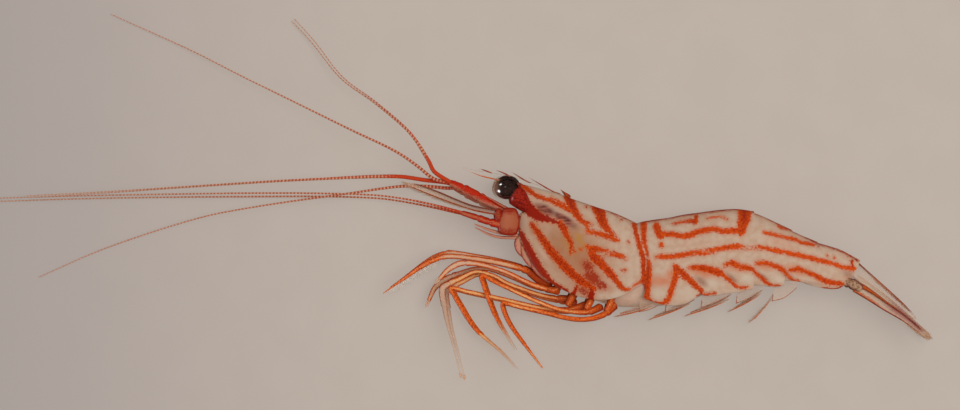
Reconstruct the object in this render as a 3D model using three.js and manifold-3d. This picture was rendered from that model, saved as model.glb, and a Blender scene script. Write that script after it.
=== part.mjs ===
// A red-striped cleaner shrimp, life size, lying still on its right side.
//
// Millimetres. The floor is z = 0 and +Z is up, towards the shrimp's left side.
// The head points along -X and the back along +Y. The body is the same on both
// sides of one middle plane, which lies flat at the height MID. The origin is
// in the middle of the small flat on which the carapace rests.

import * as THREE from "three";
import { mergeVertices } from "three/addons/utils/BufferGeometryUtils.js";
import Module from "manifold-3d";

// ---------------------------------------------------------------- driving sizes

const MID = 3.55; // height of the body's middle plane over the floor
const THIN = 0.5; // thickness of the thinnest plates and feelers
const SIDES = { left: 1, right: -1 }; // left is up, right is against the floor

const BODY_FACETS = 24; // facets round the carapace and the abdomen
const LIMB_FACETS = 8; // facets round a leg
const FEELER_FACETS = 6; // facets round a feeler
const PLATE_FACETS = 10; // facets round a tail fan blade or an antennal scale

const BODY_SQUARENESS = 0.86; // under 1 makes the body's section fuller than an ellipse
const BELLY_FULLNESS = 0.1; // how much wider the section is towards the belly

const ROSTRUM_THICKNESS = 0.6;
const ROSTRUM_ROOT_X = -8.5; // where the free blade leaves the carapace
const TOOTH_RISE = 0.3; // height of a rostral tooth over the blade's edge
const TOOTH_LENGTH = 1.5;
const TOOTH_XS = [-13.1, -11.1, -9.3]; // tips of the teeth on the free blade
const CREST_TOOTH_XS = [-7.2, -3.5]; // tips of the teeth on the carapace
const CREST_START = ROSTRUM_ROOT_X + 0.3; // the blade goes on along the carapace's back
const CREST_END = -2.2;

const EYE_HALF_LENGTHS = [1.6, 1.3, 1.25]; // along the eye, across it, and up
const EYE_TILT = 0.25; // radians that the eye's long axis rises forwards
const ORBIT_RADIUS = 1.9; // hollow in the carapace behind each eye
const ORBIT_CENTRE = [-8.5, 6.3, 2.2]; // x, y and rise from the middle plane

const LEG_RADIUS = 0.3;
const SHIN_RADIUS = 0.27; // a leg below its knee
const FEELER_RADIUS = THIN / 2;
const PLEOPOD_RISE = 1.5; // how far a swimmeret hangs from the middle plane
const PLEOPOD_THICKNESS = 0.6;

const COLOURS = {
  shell: "#d0a58c",
  stripe: "#b84a1c",
  leg: "#bd6136",
  clear: "#cdb19d",
  eye: "#241313",
  stalk: "#8a2412",
};

// ---------------------------------------------------------------- helpers

const wasm = await Module();
wasm.setup();

const shrimp = new THREE.Group();

// Puts one named piece into the model.
function addPiece(name, geometry, colour, roughness = 0.35) {
  const material = new THREE.MeshStandardMaterial({ color: colour, roughness, metalness: 0 });
  const mesh = new THREE.Mesh(geometry, material);
  mesh.name = name;
  shrimp.add(mesh);
}

// Merges shared corners, keeps only positions and turns the faces outwards.
function closed(geometry) {
  geometry.deleteAttribute("normal");
  geometry.deleteAttribute("uv");
  const merged = mergeVertices(geometry, 1e-4);
  const [a, b, c] = [new THREE.Vector3(), new THREE.Vector3(), new THREE.Vector3()];
  const { position } = merged.attributes;
  const order = merged.index.array;
  let volume = 0;
  for (let i = 0; i < order.length; i += 3) {
    a.fromBufferAttribute(position, order[i]);
    b.fromBufferAttribute(position, order[i + 1]);
    c.fromBufferAttribute(position, order[i + 2]);
    volume += a.dot(b.cross(c));
  }
  if (volume < 0) {
    for (let i = 0; i < order.length; i += 3) {
      [order[i], order[i + 1]] = [order[i + 1], order[i]];
    }
  }
  merged.computeVertexNormals();
  return merged;
}

// Reshapes a unit cylinder: place(t, u, s) gives the point at t along the piece,
// where u and s are the cosine and sine of the angle round it (0 on the axis).
function reshapedCylinder(facets, steps, place) {
  const geometry = new THREE.CylinderGeometry(1, 1, 1, facets, steps);
  const { position } = geometry.attributes;
  const vertex = new THREE.Vector3();
  for (let i = 0; i < position.count; i += 1) {
    vertex.fromBufferAttribute(position, i);
    const point = place(0.5 - vertex.y, vertex.z, vertex.x);
    position.setXYZ(i, point.x, point.y, Math.max(point.z, 0));
  }
  return closed(geometry);
}

// Reads a list of values as a smooth function of t from 0 to 1.
function profile(values) {
  const curve = new THREE.SplineCurve(values.map((value, i) => new THREE.Vector2(i, value)));
  return (t) => curve.getPoint(THREE.MathUtils.clamp(t, 0, 1)).y;
}

const fuller = (value) => Math.sign(value) * Math.abs(value) ** BODY_SQUARENESS;

// A length of the body. Each ring lies across the line from a point on the back
// to a point on the belly: [back x, back y, belly x, belly y, half width, bow],
// where the bow is how far the middle of the flank stands behind that line.
function bodyLength(rings, steps) {
  const back = new THREE.SplineCurve(rings.map(([x, y]) => new THREE.Vector2(x, y)));
  const belly = new THREE.SplineCurve(rings.map(([, , x, y]) => new THREE.Vector2(x, y)));
  const halfWidth = profile(rings.map((ring) => ring[4]));
  const bow = profile(rings.map((ring) => ring[5] ?? 0));
  return reshapedCylinder(BODY_FACETS, steps, (t, u, s) => {
    const top = back.getPoint(t);
    const low = belly.getPoint(t);
    const along = (1 + fuller(u)) / 2;
    const across = halfWidth(t) * fuller(s) * (1 - BELLY_FULLNESS * u);
    return new THREE.Vector3(
      THREE.MathUtils.lerp(low.x, top.x, along) + bow(t) * (1 - u * u),
      THREE.MathUtils.lerp(low.y, top.y, along),
      MID + across,
    );
  });
}

// A limb, feeler or blade that follows a route. Its section is an ellipse with
// `thick` across the route in plan and `wide` upwards, both half sizes.
function limb(points, { thick, wide = thick, facets = LIMB_FACETS, steps = 8 }) {
  const route = new THREE.CatmullRomCurve3(
    points.map((point) => new THREE.Vector3(...point)),
    false,
    "centripetal",
  );
  const up = new THREE.Vector3(0, 0, 1);
  return reshapedCylinder(facets, steps, (t, u, s) => {
    const forward = route.getTangentAt(t);
    const sideways = new THREE.Vector3().crossVectors(up, forward).normalize();
    const upwards = new THREE.Vector3().crossVectors(forward, sideways);
    return route
      .getPointAt(t)
      .addScaledVector(sideways, u * thick(t))
      .addScaledVector(upwards, s * wide(t));
  });
}

// Turns points given as [x, y, rise from the middle plane] into real places on
// one side, moved in plan by a small drift so that left and right differ.
function onSide(side, points, [driftX, driftY] = [0, 0]) {
  return points.map(([x, y, rise]) => [x + driftX, y + driftY, MID + side * rise]);
}

// A flat outline made into a plate whose middle lies at the given height.
function plate(outline, thickness, height) {
  const shape = new THREE.Shape(outline.map(([x, y]) => new THREE.Vector2(x, y)));
  const geometry = new THREE.ExtrudeGeometry(shape, { depth: thickness, bevelEnabled: false });
  geometry.translate(0, 0, height - thickness / 2);
  return closed(geometry);
}

function solidOf(geometry) {
  const vertProperties = new Float32Array(geometry.attributes.position.array);
  const triVerts = new Uint32Array(geometry.index.array);
  return new wasm.Manifold(new wasm.Mesh({ numProp: 3, vertProperties, triVerts }));
}

function geometryOf(solid) {
  const { vertProperties, triVerts } = solid.getMesh();
  const geometry = new THREE.BufferGeometry();
  geometry.setAttribute("position", new THREE.BufferAttribute(vertProperties, 3));
  geometry.setIndex(new THREE.BufferAttribute(triVerts, 1));
  geometry.computeVertexNormals();
  return geometry;
}

// ---------------------------------------------------------------- rostrum and carapace

// Height of the rostrum's upper edge without its teeth, at a place along it.
const ridge = new THREE.SplineCurve([
  new THREE.Vector2(-15.1, 10.3),
  new THREE.Vector2(-12, 9.8),
  new THREE.Vector2(-8.5, 9.2),
  new THREE.Vector2(-5.9, 8.35),
  new THREE.Vector2(-3.6, 7.3),
  new THREE.Vector2(-2, 6.8),
]);

function ridgeHeight(x) {
  let [low, high] = [0, 1];
  for (let i = 0; i < 30; i += 1) {
    const middle = (low + high) / 2;
    if (ridge.getPoint(middle).x < x) low = middle;
    else high = middle;
  }
  return ridge.getPoint(low).y;
}

// The toothed upper edge from front to back: under each tooth's tip is a notch.
function toothedEdge(from, to, tips) {
  const edge = [[from, ridgeHeight(from)]];
  for (const tip of tips) {
    edge.push([tip + TOOTH_RISE, ridgeHeight(tip + TOOTH_RISE) - 0.05]);
    edge.push([tip, ridgeHeight(tip) + TOOTH_RISE]);
    const root = Math.min(tip + TOOTH_LENGTH, to - 0.1);
    edge.push([root, ridgeHeight(root)]);
  }
  edge.push([to, ridgeHeight(to)]);
  return edge;
}

function rostrum() {
  const lowerEdge = [[ROSTRUM_ROOT_X, 8.45], [-9.8, 8.5], [-11.4, 8.8], [-13, 9.3], [-14.3, 9.85]];
  const upperEdge = toothedEdge(-15.1, ROSTRUM_ROOT_X, TOOTH_XS);
  return plate([...lowerEdge, ...upperEdge], ROSTRUM_THICKNESS, MID);
}

function carapace() {
  const shell = bodyLength(
    [
      [-8.2, 8.4, -8.1, 2.1, 1.9],
      [-6.2, 7.9, -7.1, 0.2, 2.6],
      [-4.0, 7.2, -5.2, -2.4, 3.2],
      [-1.8, 6.5, -2.5, -4.2, 3.6],
      [0.6, 5.7, 0.4, -5.1, 3.78],
      [3.0, 4.9, 3.2, -4.9, 3.75, 0.3],
      [5.2, 3.8, 5.8, -3.5, 3.55, 0.7],
    ],
    12,
  );
  const crestEdge = toothedEdge(CREST_START, CREST_END, CREST_TOOTH_XS);
  const crestOutline = [[CREST_START, 7.6], [CREST_END, 6], ...crestEdge.reverse()];
  const crest = plate(crestOutline, ROSTRUM_THICKNESS, MID);
  let solid = solidOf(shell).add(solidOf(crest));
  for (const side of Object.values(SIDES)) {
    const orbit = new THREE.SphereGeometry(ORBIT_RADIUS, 14, 10);
    orbit.translate(ORBIT_CENTRE[0], ORBIT_CENTRE[1], MID + side * ORBIT_CENTRE[2]);
    solid = solid.subtract(solidOf(closed(orbit)));
  }
  return geometryOf(solid);
}

addPiece("rostrum", rostrum(), COLOURS.clear);
addPiece("carapace", carapace(), COLOURS.shell);

// ---------------------------------------------------------------- abdomen

// Six lengths, each ending in front of the next with a gap of about 0.3 mm.
const ABDOMEN = [
  {
    steps: 3,
    rings: [
      [5.55, 3.75, 6.2, -3.8, 3.45, 0.7],
      [6.8, 4.0, 6.5, -4.8, 3.6, 0.4],
      [8.0, 4.15, 6.8, -5.25, 3.62, 0.1],
    ],
  },
  {
    steps: 5,
    rings: [
      [8.3, 4.2, 7.1, -5.4, 3.68, 0.1],
      [9.8, 4.5, 8.9, -5.8, 3.78],
      [11.2, 4.8, 11.1, -5.4, 3.78],
      [12.6, 5.0, 12.8, -4.3, 3.72],
    ],
  },
  {
    steps: 5,
    rings: [
      [12.9, 5.0, 13.1, -3.5, 3.66],
      [14.6, 5.25, 14.4, -3.2, 3.7],
      [16.3, 5.4, 15.8, -3.3, 3.7],
      [17.6, 5.4, 17.1, -3.7, 3.6],
      [18.9, 5.15, 18.5, -3.85, 3.5],
    ],
  },
  {
    steps: 4,
    rings: [
      [19.2, 5.0, 18.9, -3.0, 3.4],
      [20.6, 4.45, 19.9, -3.1, 3.35],
      [22.0, 3.8, 21.0, -3.6, 3.25],
      [23.5, 2.95, 22.3, -3.6, 3.1],
    ],
  },
  {
    steps: 3,
    rings: [
      [23.8, 2.8, 22.8, -2.7, 3.0],
      [25.2, 2.2, 23.7, -2.9, 2.8],
      [26.4, 1.55, 24.6, -3.25, 2.6],
    ],
  },
  {
    steps: 5,
    rings: [
      [26.7, 1.45, 24.95, -3.3, 2.5],
      [28.2, 1.05, 26.9, -3.85, 2.35],
      [29.8, 0.5, 29.0, -4.05, 2.1],
      [31.4, -0.55, 30.3, -3.1, 1.7],
    ],
  },
];

ABDOMEN.forEach(({ rings, steps }, i) => {
  addPiece(`abdomen_${i + 1}`, bodyLength(rings, steps), COLOURS.shell);
});

// ---------------------------------------------------------------- tail fan

function telson() {
  const route = [[31.85, -1.4, MID], [35.2, -4.7, MID], [38.7, -8.1, MID]];
  return limb(route, {
    thick: profile([0.65, 0.45, 0.27]),
    wide: profile([1.3, 0.95, 0.42]),
    facets: PLATE_FACETS,
    steps: 5,
  });
}

// The closed fan's blades lie under each other, edge on to the side view.
const FAN_BLADES = {
  inner: {
    route: [[31.3, -3.4, 1.1], [35.2, -6.1, 2.0], [39.8, -9.1, 1.8]],
    half: [0.5, 1.25, 1.2, 0.4],
  },
  outer: {
    route: [[30.95, -4.35, 1.3], [34.85, -6.95, 2.3], [39.15, -9.7, 2.4]],
    half: [0.5, 1.35, 1.3, 0.45],
  },
};

addPiece("telson", telson(), COLOURS.clear);
for (const [sideName, side] of Object.entries(SIDES)) {
  for (const [blade, { route, half }] of Object.entries(FAN_BLADES)) {
    const geometry = limb(onSide(side, route), {
      thick: profile([0.35, 0.27, 0.25]),
      wide: profile(half),
      facets: PLATE_FACETS,
      steps: 6,
    });
    addPiece(`uropod_${blade}_${sideName}`, geometry, COLOURS.clear);
  }
}

// ---------------------------------------------------------------- eyes

// The right eye is held a little higher on its stalk than the left one.
const EYES = { left: [-10.0, 7.75, 2.05], right: [-9.55, 8.2, 2.05] };
const STALK_ROOT = [-7.9, 6.05, 1.9];
const STALK_SHARE = 0.33; // part of the way from the stalk's root to the eye's centre

function eye(centre) {
  const geometry = new THREE.SphereGeometry(1, 12, 9);
  geometry.scale(...EYE_HALF_LENGTHS);
  geometry.rotateZ(-EYE_TILT);
  geometry.translate(...centre);
  return closed(geometry);
}

for (const [sideName, side] of Object.entries(SIDES)) {
  const [centre, root] = onSide(side, [EYES[sideName], STALK_ROOT]);
  const neck = root.map((value, i) => THREE.MathUtils.lerp(value, centre[i], STALK_SHARE));
  const stalk = limb([root, neck], { thick: profile([0.65, 0.85]), facets: PLATE_FACETS, steps: 2 });
  addPiece(`eye_${sideName}`, eye(centre), COLOURS.eye, 0.08);
  addPiece(`eyestalk_${sideName}`, stalk, COLOURS.stalk);
}

// ---------------------------------------------------------------- antennules and antennae

// The three stout joints at the root of an antennule.
const ANTENNULE_ROOT = {
  left: [[-8.9, 4.9, 0.95], [-10.6, 5.65, 0.9], [-13.2, 7.15, 0.85], [-17.7, 9.25, 0.85]],
  right: [[-8.9, 4.8, 0.95], [-10.6, 5.3, 0.9], [-13, 6.5, 0.85], [-16.2, 8.2, 0.85]],
};

// Each antennule carries two feelers. Their heights fall slowly to the floor.
const ANTENNULE_FEELERS = {
  outer_left: [
    [-18.3, 9.75, 4.75], [-19.65, 12.1, 4.6], [-21.2, 14.3, 4.2], [-25.4, 17.9, 3], [-29.5, 20.9, 1.8],
    [-33, 25.2, 0.8], [-35.4, 27.8, 0.3],
  ],
  inner_left: [
    [-18.45, 9.0, 3.95], [-22.4, 11.9, 3.6], [-28.3, 14.8, 2.9], [-35.4, 18.3, 2.1], [-41.3, 21.2, 1.4],
    [-47.2, 24.2, 0.7], [-56.9, 28.6, 0.3],
  ],
  outer_right: [
    [-16.75, 8.5, 3.05], [-18.9, 8.75, 3], [-22.4, 9.25, 2.9], [-34.2, 8.85, 2.7], [-46, 8.1, 2.5],
    [-57.8, 7.3, 2.1], [-67, 6.8, 1.9],
  ],
  inner_right: [
    [-16.9, 7.9, 2.35], [-19, 8.1, 2.3], [-22.4, 8.1, 2.3], [-28.3, 7.3, 2.3], [-34.2, 6.5, 2.1],
    [-40.1, 5.6, 1.8], [-46, 4.45, 1.3], [-57.8, 0.65, 0.5], [-65.5, -2.7, 0.3],
  ],
};

// A broad joint beside the mouth, and the slimmer joints that it carries.
const ANTENNA_ROOT = [
  [-8.6, 3.9, 2.25], [-9.9, 3.9, 2.25], [-11.2, 3.9, 2.2], [-12.6, 4.2, 2.1], [-15, 5.0, 2.0],
];

const ANTENNA_FEELERS = {
  left: [
    [-15.35, 5.1, 5.55], [-19.5, 6.15, 5.3], [-24.2, 6.95, 4.9], [-31, 7.25, 4.2], [-40.1, 7.3, 2.7],
    [-51.9, 7.15, 1.25], [-62, 6.95, 1.15], [-74, 6.6, 1.1],
  ],
  right: [
    [-15.35, 4.9, 1.6], [-19.5, 5.8, 1.4], [-24.2, 6.6, 1.1], [-31, 6.9, 0.75], [-40.1, 6.9, 0.3],
    [-51.9, 6.8, 0.3], [-62, 6.6, 0.3], [-71, 6.3, 0.3],
  ],
};

const ANTENNAL_SCALE = [[-12.0, 5.5, 2.35], [-15.3, 6.4, 2.45], [-20.6, 7.9, 2.3]];

function feeler(route) {
  return limb(route, { thick: () => FEELER_RADIUS, facets: FEELER_FACETS, steps: 18 });
}

for (const [sideName, side] of Object.entries(SIDES)) {
  const antennuleRoot = limb(onSide(side, ANTENNULE_ROOT[sideName]), {
    thick: profile([0.6, 0.6, 0.52, 0.45]),
    facets: LIMB_FACETS,
    steps: 8,
  });
  const antennaRoot = limb(onSide(side, ANTENNA_ROOT), {
    thick: profile([1.4, 1.75, 1.8, 1.5, 0.6, 0.5, 0.45, 0.42]),
    wide: profile([0.5, 0.6, 0.55, 0.45, 0.42]),
    facets: PLATE_FACETS,
    steps: 10,
  });
  const scale = limb(onSide(side, ANTENNAL_SCALE), {
    thick: () => THIN / 2,
    wide: profile([0.5, 1.3, 1.35, 0.5]),
    facets: PLATE_FACETS,
    steps: 6,
  });
  addPiece(`antennule_root_${sideName}`, antennuleRoot, COLOURS.stripe);
  addPiece(`antenna_root_${sideName}`, antennaRoot, COLOURS.stripe);
  addPiece(`antennal_scale_${sideName}`, scale, COLOURS.clear);
  addPiece(`antenna_${sideName}`, feeler(ANTENNA_FEELERS[sideName]), COLOURS.stripe);
}
for (const [name, route] of Object.entries(ANTENNULE_FEELERS)) {
  addPiece(`antennule_${name}`, feeler(route), COLOURS.stripe);
}

// ---------------------------------------------------------------- mouthparts

function mouthparts() {
  const route = [[-9.0, 1.3, MID], [-8.5, 0.3, MID], [-7.75, -0.55, MID]];
  return limb(route, { thick: () => 0.4, wide: () => 1.4, facets: PLATE_FACETS, steps: 3 });
}

// The leg-like third maxillipeds reach forward and turn down at their tips.
const MAXILLIPEDS = {
  left: [
    [-6.0, -2.75, 0.75], [-7.4, -1.85, 0.7], [-10, -1.1, 0.65], [-13.5, -0.45, 0.65],
    [-17.3, -0.2, 0.65], [-19.2, -0.95, 0.7], [-21.8, -2.65, 0.8], [-24.4, -4.5, 0.9],
  ],
  right: [
    [-6.0, -2.75, 0.75], [-7.4, -1.8, 0.7], [-10, -0.95, 0.65], [-13.5, -0.2, 0.65],
    [-17.1, 0.2, 0.65], [-19.3, -0.8, 0.7], [-21.6, -2.45, 0.9], [-23.6, -3.8, 1.1],
  ],
};

addPiece("mouthparts", mouthparts(), COLOURS.shell);
for (const [sideName, side] of Object.entries(SIDES)) {
  const geometry = limb(onSide(side, MAXILLIPEDS[sideName]), {
    thick: profile([0.42, 0.42, 0.4, 0.36, 0.4, 0.36, 0.25]),
    steps: 12,
  });
  addPiece(`maxilliped_${sideName}`, geometry, COLOURS.leg);
}

// ---------------------------------------------------------------- legs

// The first pair of legs is folded up short, each in its own way.
const FIRST_LEGS = {
  left: [
    [-3.6, -4.35, 1.6], [-6.7, -3.5, 1.6], [-9.8, -2.05, 1.5], [-12.7, -1.15, 1.5],
    [-15.3, -0.95, 1.55], [-16.8, -1.75, 1.6], [-17.8, -2.8, 1.6],
  ],
  right: [
    [-3.6, -4.35, 1.6], [-6.7, -3.7, 1.6], [-9.8, -2.4, 1.5], [-12.7, -1.6, 1.5],
    [-15.6, -2.3, 1.5], [-18, -3.5, 1.5], [-19.1, -5.5, 1.5],
  ],
};

// Plan and rise of each left leg from its root to its knee, and on to its tip.
// The right leg lies under it, moved by the drift.
const LEGS = {
  leg_2: {
    upper: [
      [-1.9, -5.3, 0.6], [-5.3, -4.85, 0.55], [-9.8, -3.3, 0.6], [-12.9, -1.9, 0.6], [-15, -2.6, 0.6],
      [-17.2, -3.7, 0.6],
    ],
    lower: [[-17.45, -4.45, 0.6], [-16.9, -7.7, 0.7], [-16.2, -10.4, 0.9], [-15.3, -14, 1.2]],
    drift: [0.4, -0.35],
  },
  leg_3: {
    upper: [
      [-0.5, -5.75, 1.2], [-2, -6.3, 1.5], [-5.3, -6.25, 1.5], [-10.4, -5.15, 1.5], [-16.4, -3.85, 1.5],
    ],
    lower: [[-16.05, -4.75, 1.5], [-13.7, -8.5, 1.6], [-10.3, -11.6, 1.8], [-8.8, -13.3, 2.0]],
    drift: [0.35, -0.3],
  },
  leg_4: {
    upper: [
      [1.25, -5.95, 1.7], [-0.2, -6.6, 2.45], [-3.5, -6.4, 2.45], [-6.3, -5.4, 2.4], [-9.8, -3.8, 2.4],
      [-12.8, -2.35, 2.4],
    ],
    lower: [[-12.65, -3.3, 2.4], [-11.9, -5.5, 2.4], [-11, -7.6, 2.4], [-8.9, -11.1, 2.4]],
    drift: [0.3, -0.2],
  },
  leg_5: {
    upper: [
      [2.9, -5.7, 1.6], [1.2, -7.05, 2.9], [-1.7, -7.45, 3.4], [-5.3, -6.7, 3.4], [-10.3, -5.55, 3.35],
    ],
    lower: [[-10.25, -6.4, 3.3], [-9.6, -7.9, 3.3], [-7.6, -10.7, 3.3], [-5.7, -13.2, 3.3]],
    drift: [0.2, -0.3],
  },
};

const thighRadius = profile([LEG_RADIUS + 0.1, LEG_RADIUS, LEG_RADIUS, LEG_RADIUS]);
const shinRadius = profile([SHIN_RADIUS, SHIN_RADIUS, THIN / 2]);

for (const [sideName, side] of Object.entries(SIDES)) {
  const firstLeg = limb(onSide(side, FIRST_LEGS[sideName]), { thick: thighRadius, steps: 10 });
  addPiece(`leg_1_${sideName}`, firstLeg, COLOURS.leg);
  for (const [name, { upper, lower, drift }] of Object.entries(LEGS)) {
    const shift = side > 0 ? [0, 0] : drift;
    const thigh = limb(onSide(side, upper, shift), { thick: thighRadius });
    const shin = limb(onSide(side, lower, shift), {
      thick: shinRadius,
      facets: FEELER_FACETS,
      steps: 7,
    });
    addPiece(`${name}_upper_${sideName}`, thigh, COLOURS.leg);
    addPiece(`${name}_lower_${sideName}`, shin, COLOURS.leg);
  }
}

// ---------------------------------------------------------------- swimmerets

// Outlines in plan, each from the front corner over the root to the tip.
const PLEOPODS = [
  [[5.6, -6.3], [7.0, -5.95], [8.2, -6.25], [6.4, -6.75], [2.6, -7.3]],
  [[8.6, -6.6], [9.9, -6.25], [11.2, -5.85], [12.6, -4.9], [12.2, -5.8], [7.0, -7.7]],
  [
    [12.9, -5.9], [13.4, -4.3], [14.4, -3.6], [15.6, -3.7], [16.6, -4.5], [14.4, -6.1],
    [11.4, -7.2],
  ],
  [
    [17.2, -5.3], [17.6, -4.3], [18.7, -4.2], [19.4, -3.5], [20.3, -3.9], [20.3, -4.5],
    [18.4, -5.9], [16.1, -6.7],
  ],
  [
    [21.4, -5.1], [21.9, -4.1], [22.9, -3.7], [23.5, -3.3], [24.5, -3.8], [23.2, -4.9],
    [20.5, -6.4],
  ],
];

for (const [sideName, side] of Object.entries(SIDES)) {
  PLEOPODS.forEach((outline, i) => {
    const geometry = plate(outline, PLEOPOD_THICKNESS, MID + side * PLEOPOD_RISE);
    addPiece(`pleopod_${i + 1}_${sideName}`, geometry, COLOURS.clear);
  });
}

export default shrimp;
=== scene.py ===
# %% [markdown]
# # A striped cleaner shrimp, life size
# The shrimp lies on its right side on the floor, head to the left. Its solid parts are the fixed frame,
# which says where every piece goes. This script gives each of them its real surface: thin shell plates
# over flesh, jointed legs, ringed feelers, clear blades and fine bristles. Sizes are written in
# millimetres and turned into metres when a mesh is made.

# %% Load the frame
import math

import bpy
import numpy as np
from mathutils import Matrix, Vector


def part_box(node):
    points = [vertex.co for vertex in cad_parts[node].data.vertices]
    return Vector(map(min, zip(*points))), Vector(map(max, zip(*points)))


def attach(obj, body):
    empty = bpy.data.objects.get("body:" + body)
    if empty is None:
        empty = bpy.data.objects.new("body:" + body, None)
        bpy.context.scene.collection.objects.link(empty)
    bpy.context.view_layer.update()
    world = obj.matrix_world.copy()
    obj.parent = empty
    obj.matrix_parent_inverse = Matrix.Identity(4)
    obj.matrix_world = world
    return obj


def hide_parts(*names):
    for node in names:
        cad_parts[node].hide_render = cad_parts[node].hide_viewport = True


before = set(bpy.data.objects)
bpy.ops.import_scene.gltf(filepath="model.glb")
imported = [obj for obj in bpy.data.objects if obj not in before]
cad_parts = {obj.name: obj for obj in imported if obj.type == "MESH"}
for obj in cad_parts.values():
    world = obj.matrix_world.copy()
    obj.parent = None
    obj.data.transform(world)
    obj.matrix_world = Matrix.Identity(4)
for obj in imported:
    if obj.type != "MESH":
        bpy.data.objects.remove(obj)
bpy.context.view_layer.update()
MM = 0.001
SIDES = {"left": 1, "right": -1}

# The rostrum is a blade in the body's middle plane, so its box gives the plane's height.
MID = sum(corner[2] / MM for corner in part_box("rostrum")) / 2
print(f"the middle plane lies {MID:.2f} mm over the floor")

# %% [markdown]
# ## Camera, floor and light
# The shrimp is looked at straight from above with a long lens, so its side fills the view. The floor is
# a plain pale sheet that glows a little, like a light table, so nearly no shadow falls under the body. The
# even light comes from a light tent and one large lamp. They and the floor are left out of reflections, or
# they would lay a grey haze over the colours. Small lamps that only show in reflections make the sparkles.

# %% Camera and floor
VIEW_CENTRE = np.array([-13.0, 5.9])  # what the camera looks at, on the middle plane
VIEW_DISTANCE = 377.6  # from the middle plane up to the camera
FLOOR_DROP = 0.01  # the floor lies this far under the solids, so that no faces coincide

scene = bpy.context.scene
scene.view_settings.view_transform = "Standard"
bpy.ops.object.select_all(action="DESELECT")
eye_point = (VIEW_CENTRE[0] * MM, VIEW_CENTRE[1] * MM, (MID + VIEW_DISTANCE) * MM)
bpy.ops.object.camera_add(location=eye_point, rotation=(0, 0, 0))
camera = bpy.context.object
camera.data.lens = 120
camera.data.sensor_width = 36
camera.data.clip_start = 0.01
scene.camera = camera

bpy.ops.mesh.primitive_plane_add(size=4, location=(0, 0, -FLOOR_DROP * MM))
floor = bpy.context.object
floor.name = "floor"
floor.visible_glossy = False

# %% Lights
def srgb(red, green, blue):
    """A colour given in screen levels from 0 to 255, as the linear values that shaders use."""
    levels = [value / 255 for value in (red, green, blue)]
    linear = [v / 12.92 if v <= 0.04045 else ((v + 0.055) / 1.055) ** 2.4 for v in levels]
    return (*linear, 1.0)


def soft_light(name, place, size, power, sparkles):
    """A round area light that faces the shrimp, and either lights it or only shows as a sparkle."""
    bpy.ops.object.light_add(type="AREA", location=place)
    light = bpy.context.object
    light.name = name
    light.data.shape = "DISK"
    light.data.size = size
    light.data.energy = power
    light.visible_glossy = sparkles
    light.visible_diffuse = not sparkles
    light.rotation_euler = (-Vector(place)).to_track_quat("-Z", "Y").to_euler()


soft_light("lamp", (0.1, 0.04, 0.32), 0.22, 0.62, False)
soft_light("sparkle_back", (-0.2, 0.21, 0.1), 0.085, 0.22, True)
soft_light("sparkle_belly", (-0.27, -0.11, 0.09), 0.13, 0.5, True)
soft_light("sparkle_top", (-0.06, 0.12, 0.3), 0.03, 0.03, True)

world = bpy.data.worlds.new("tent")
scene.world = world
world.use_nodes = True
world.node_tree.nodes["Background"].inputs["Color"].default_value = srgb(255, 246, 238)
world.node_tree.nodes["Background"].inputs["Strength"].default_value = 0.55
world.cycles_visibility.glossy = False

# %% [markdown]
# ## Finishes
# Every finish is a small node tree, built through these helpers: they add a node, link or set its inputs,
# and read a pattern value that a mesh carries on its points. Patterns are laid on Object coordinates, in
# metres, so a grain of a tenth of a millimetre has a scale of about ten thousand.

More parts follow.
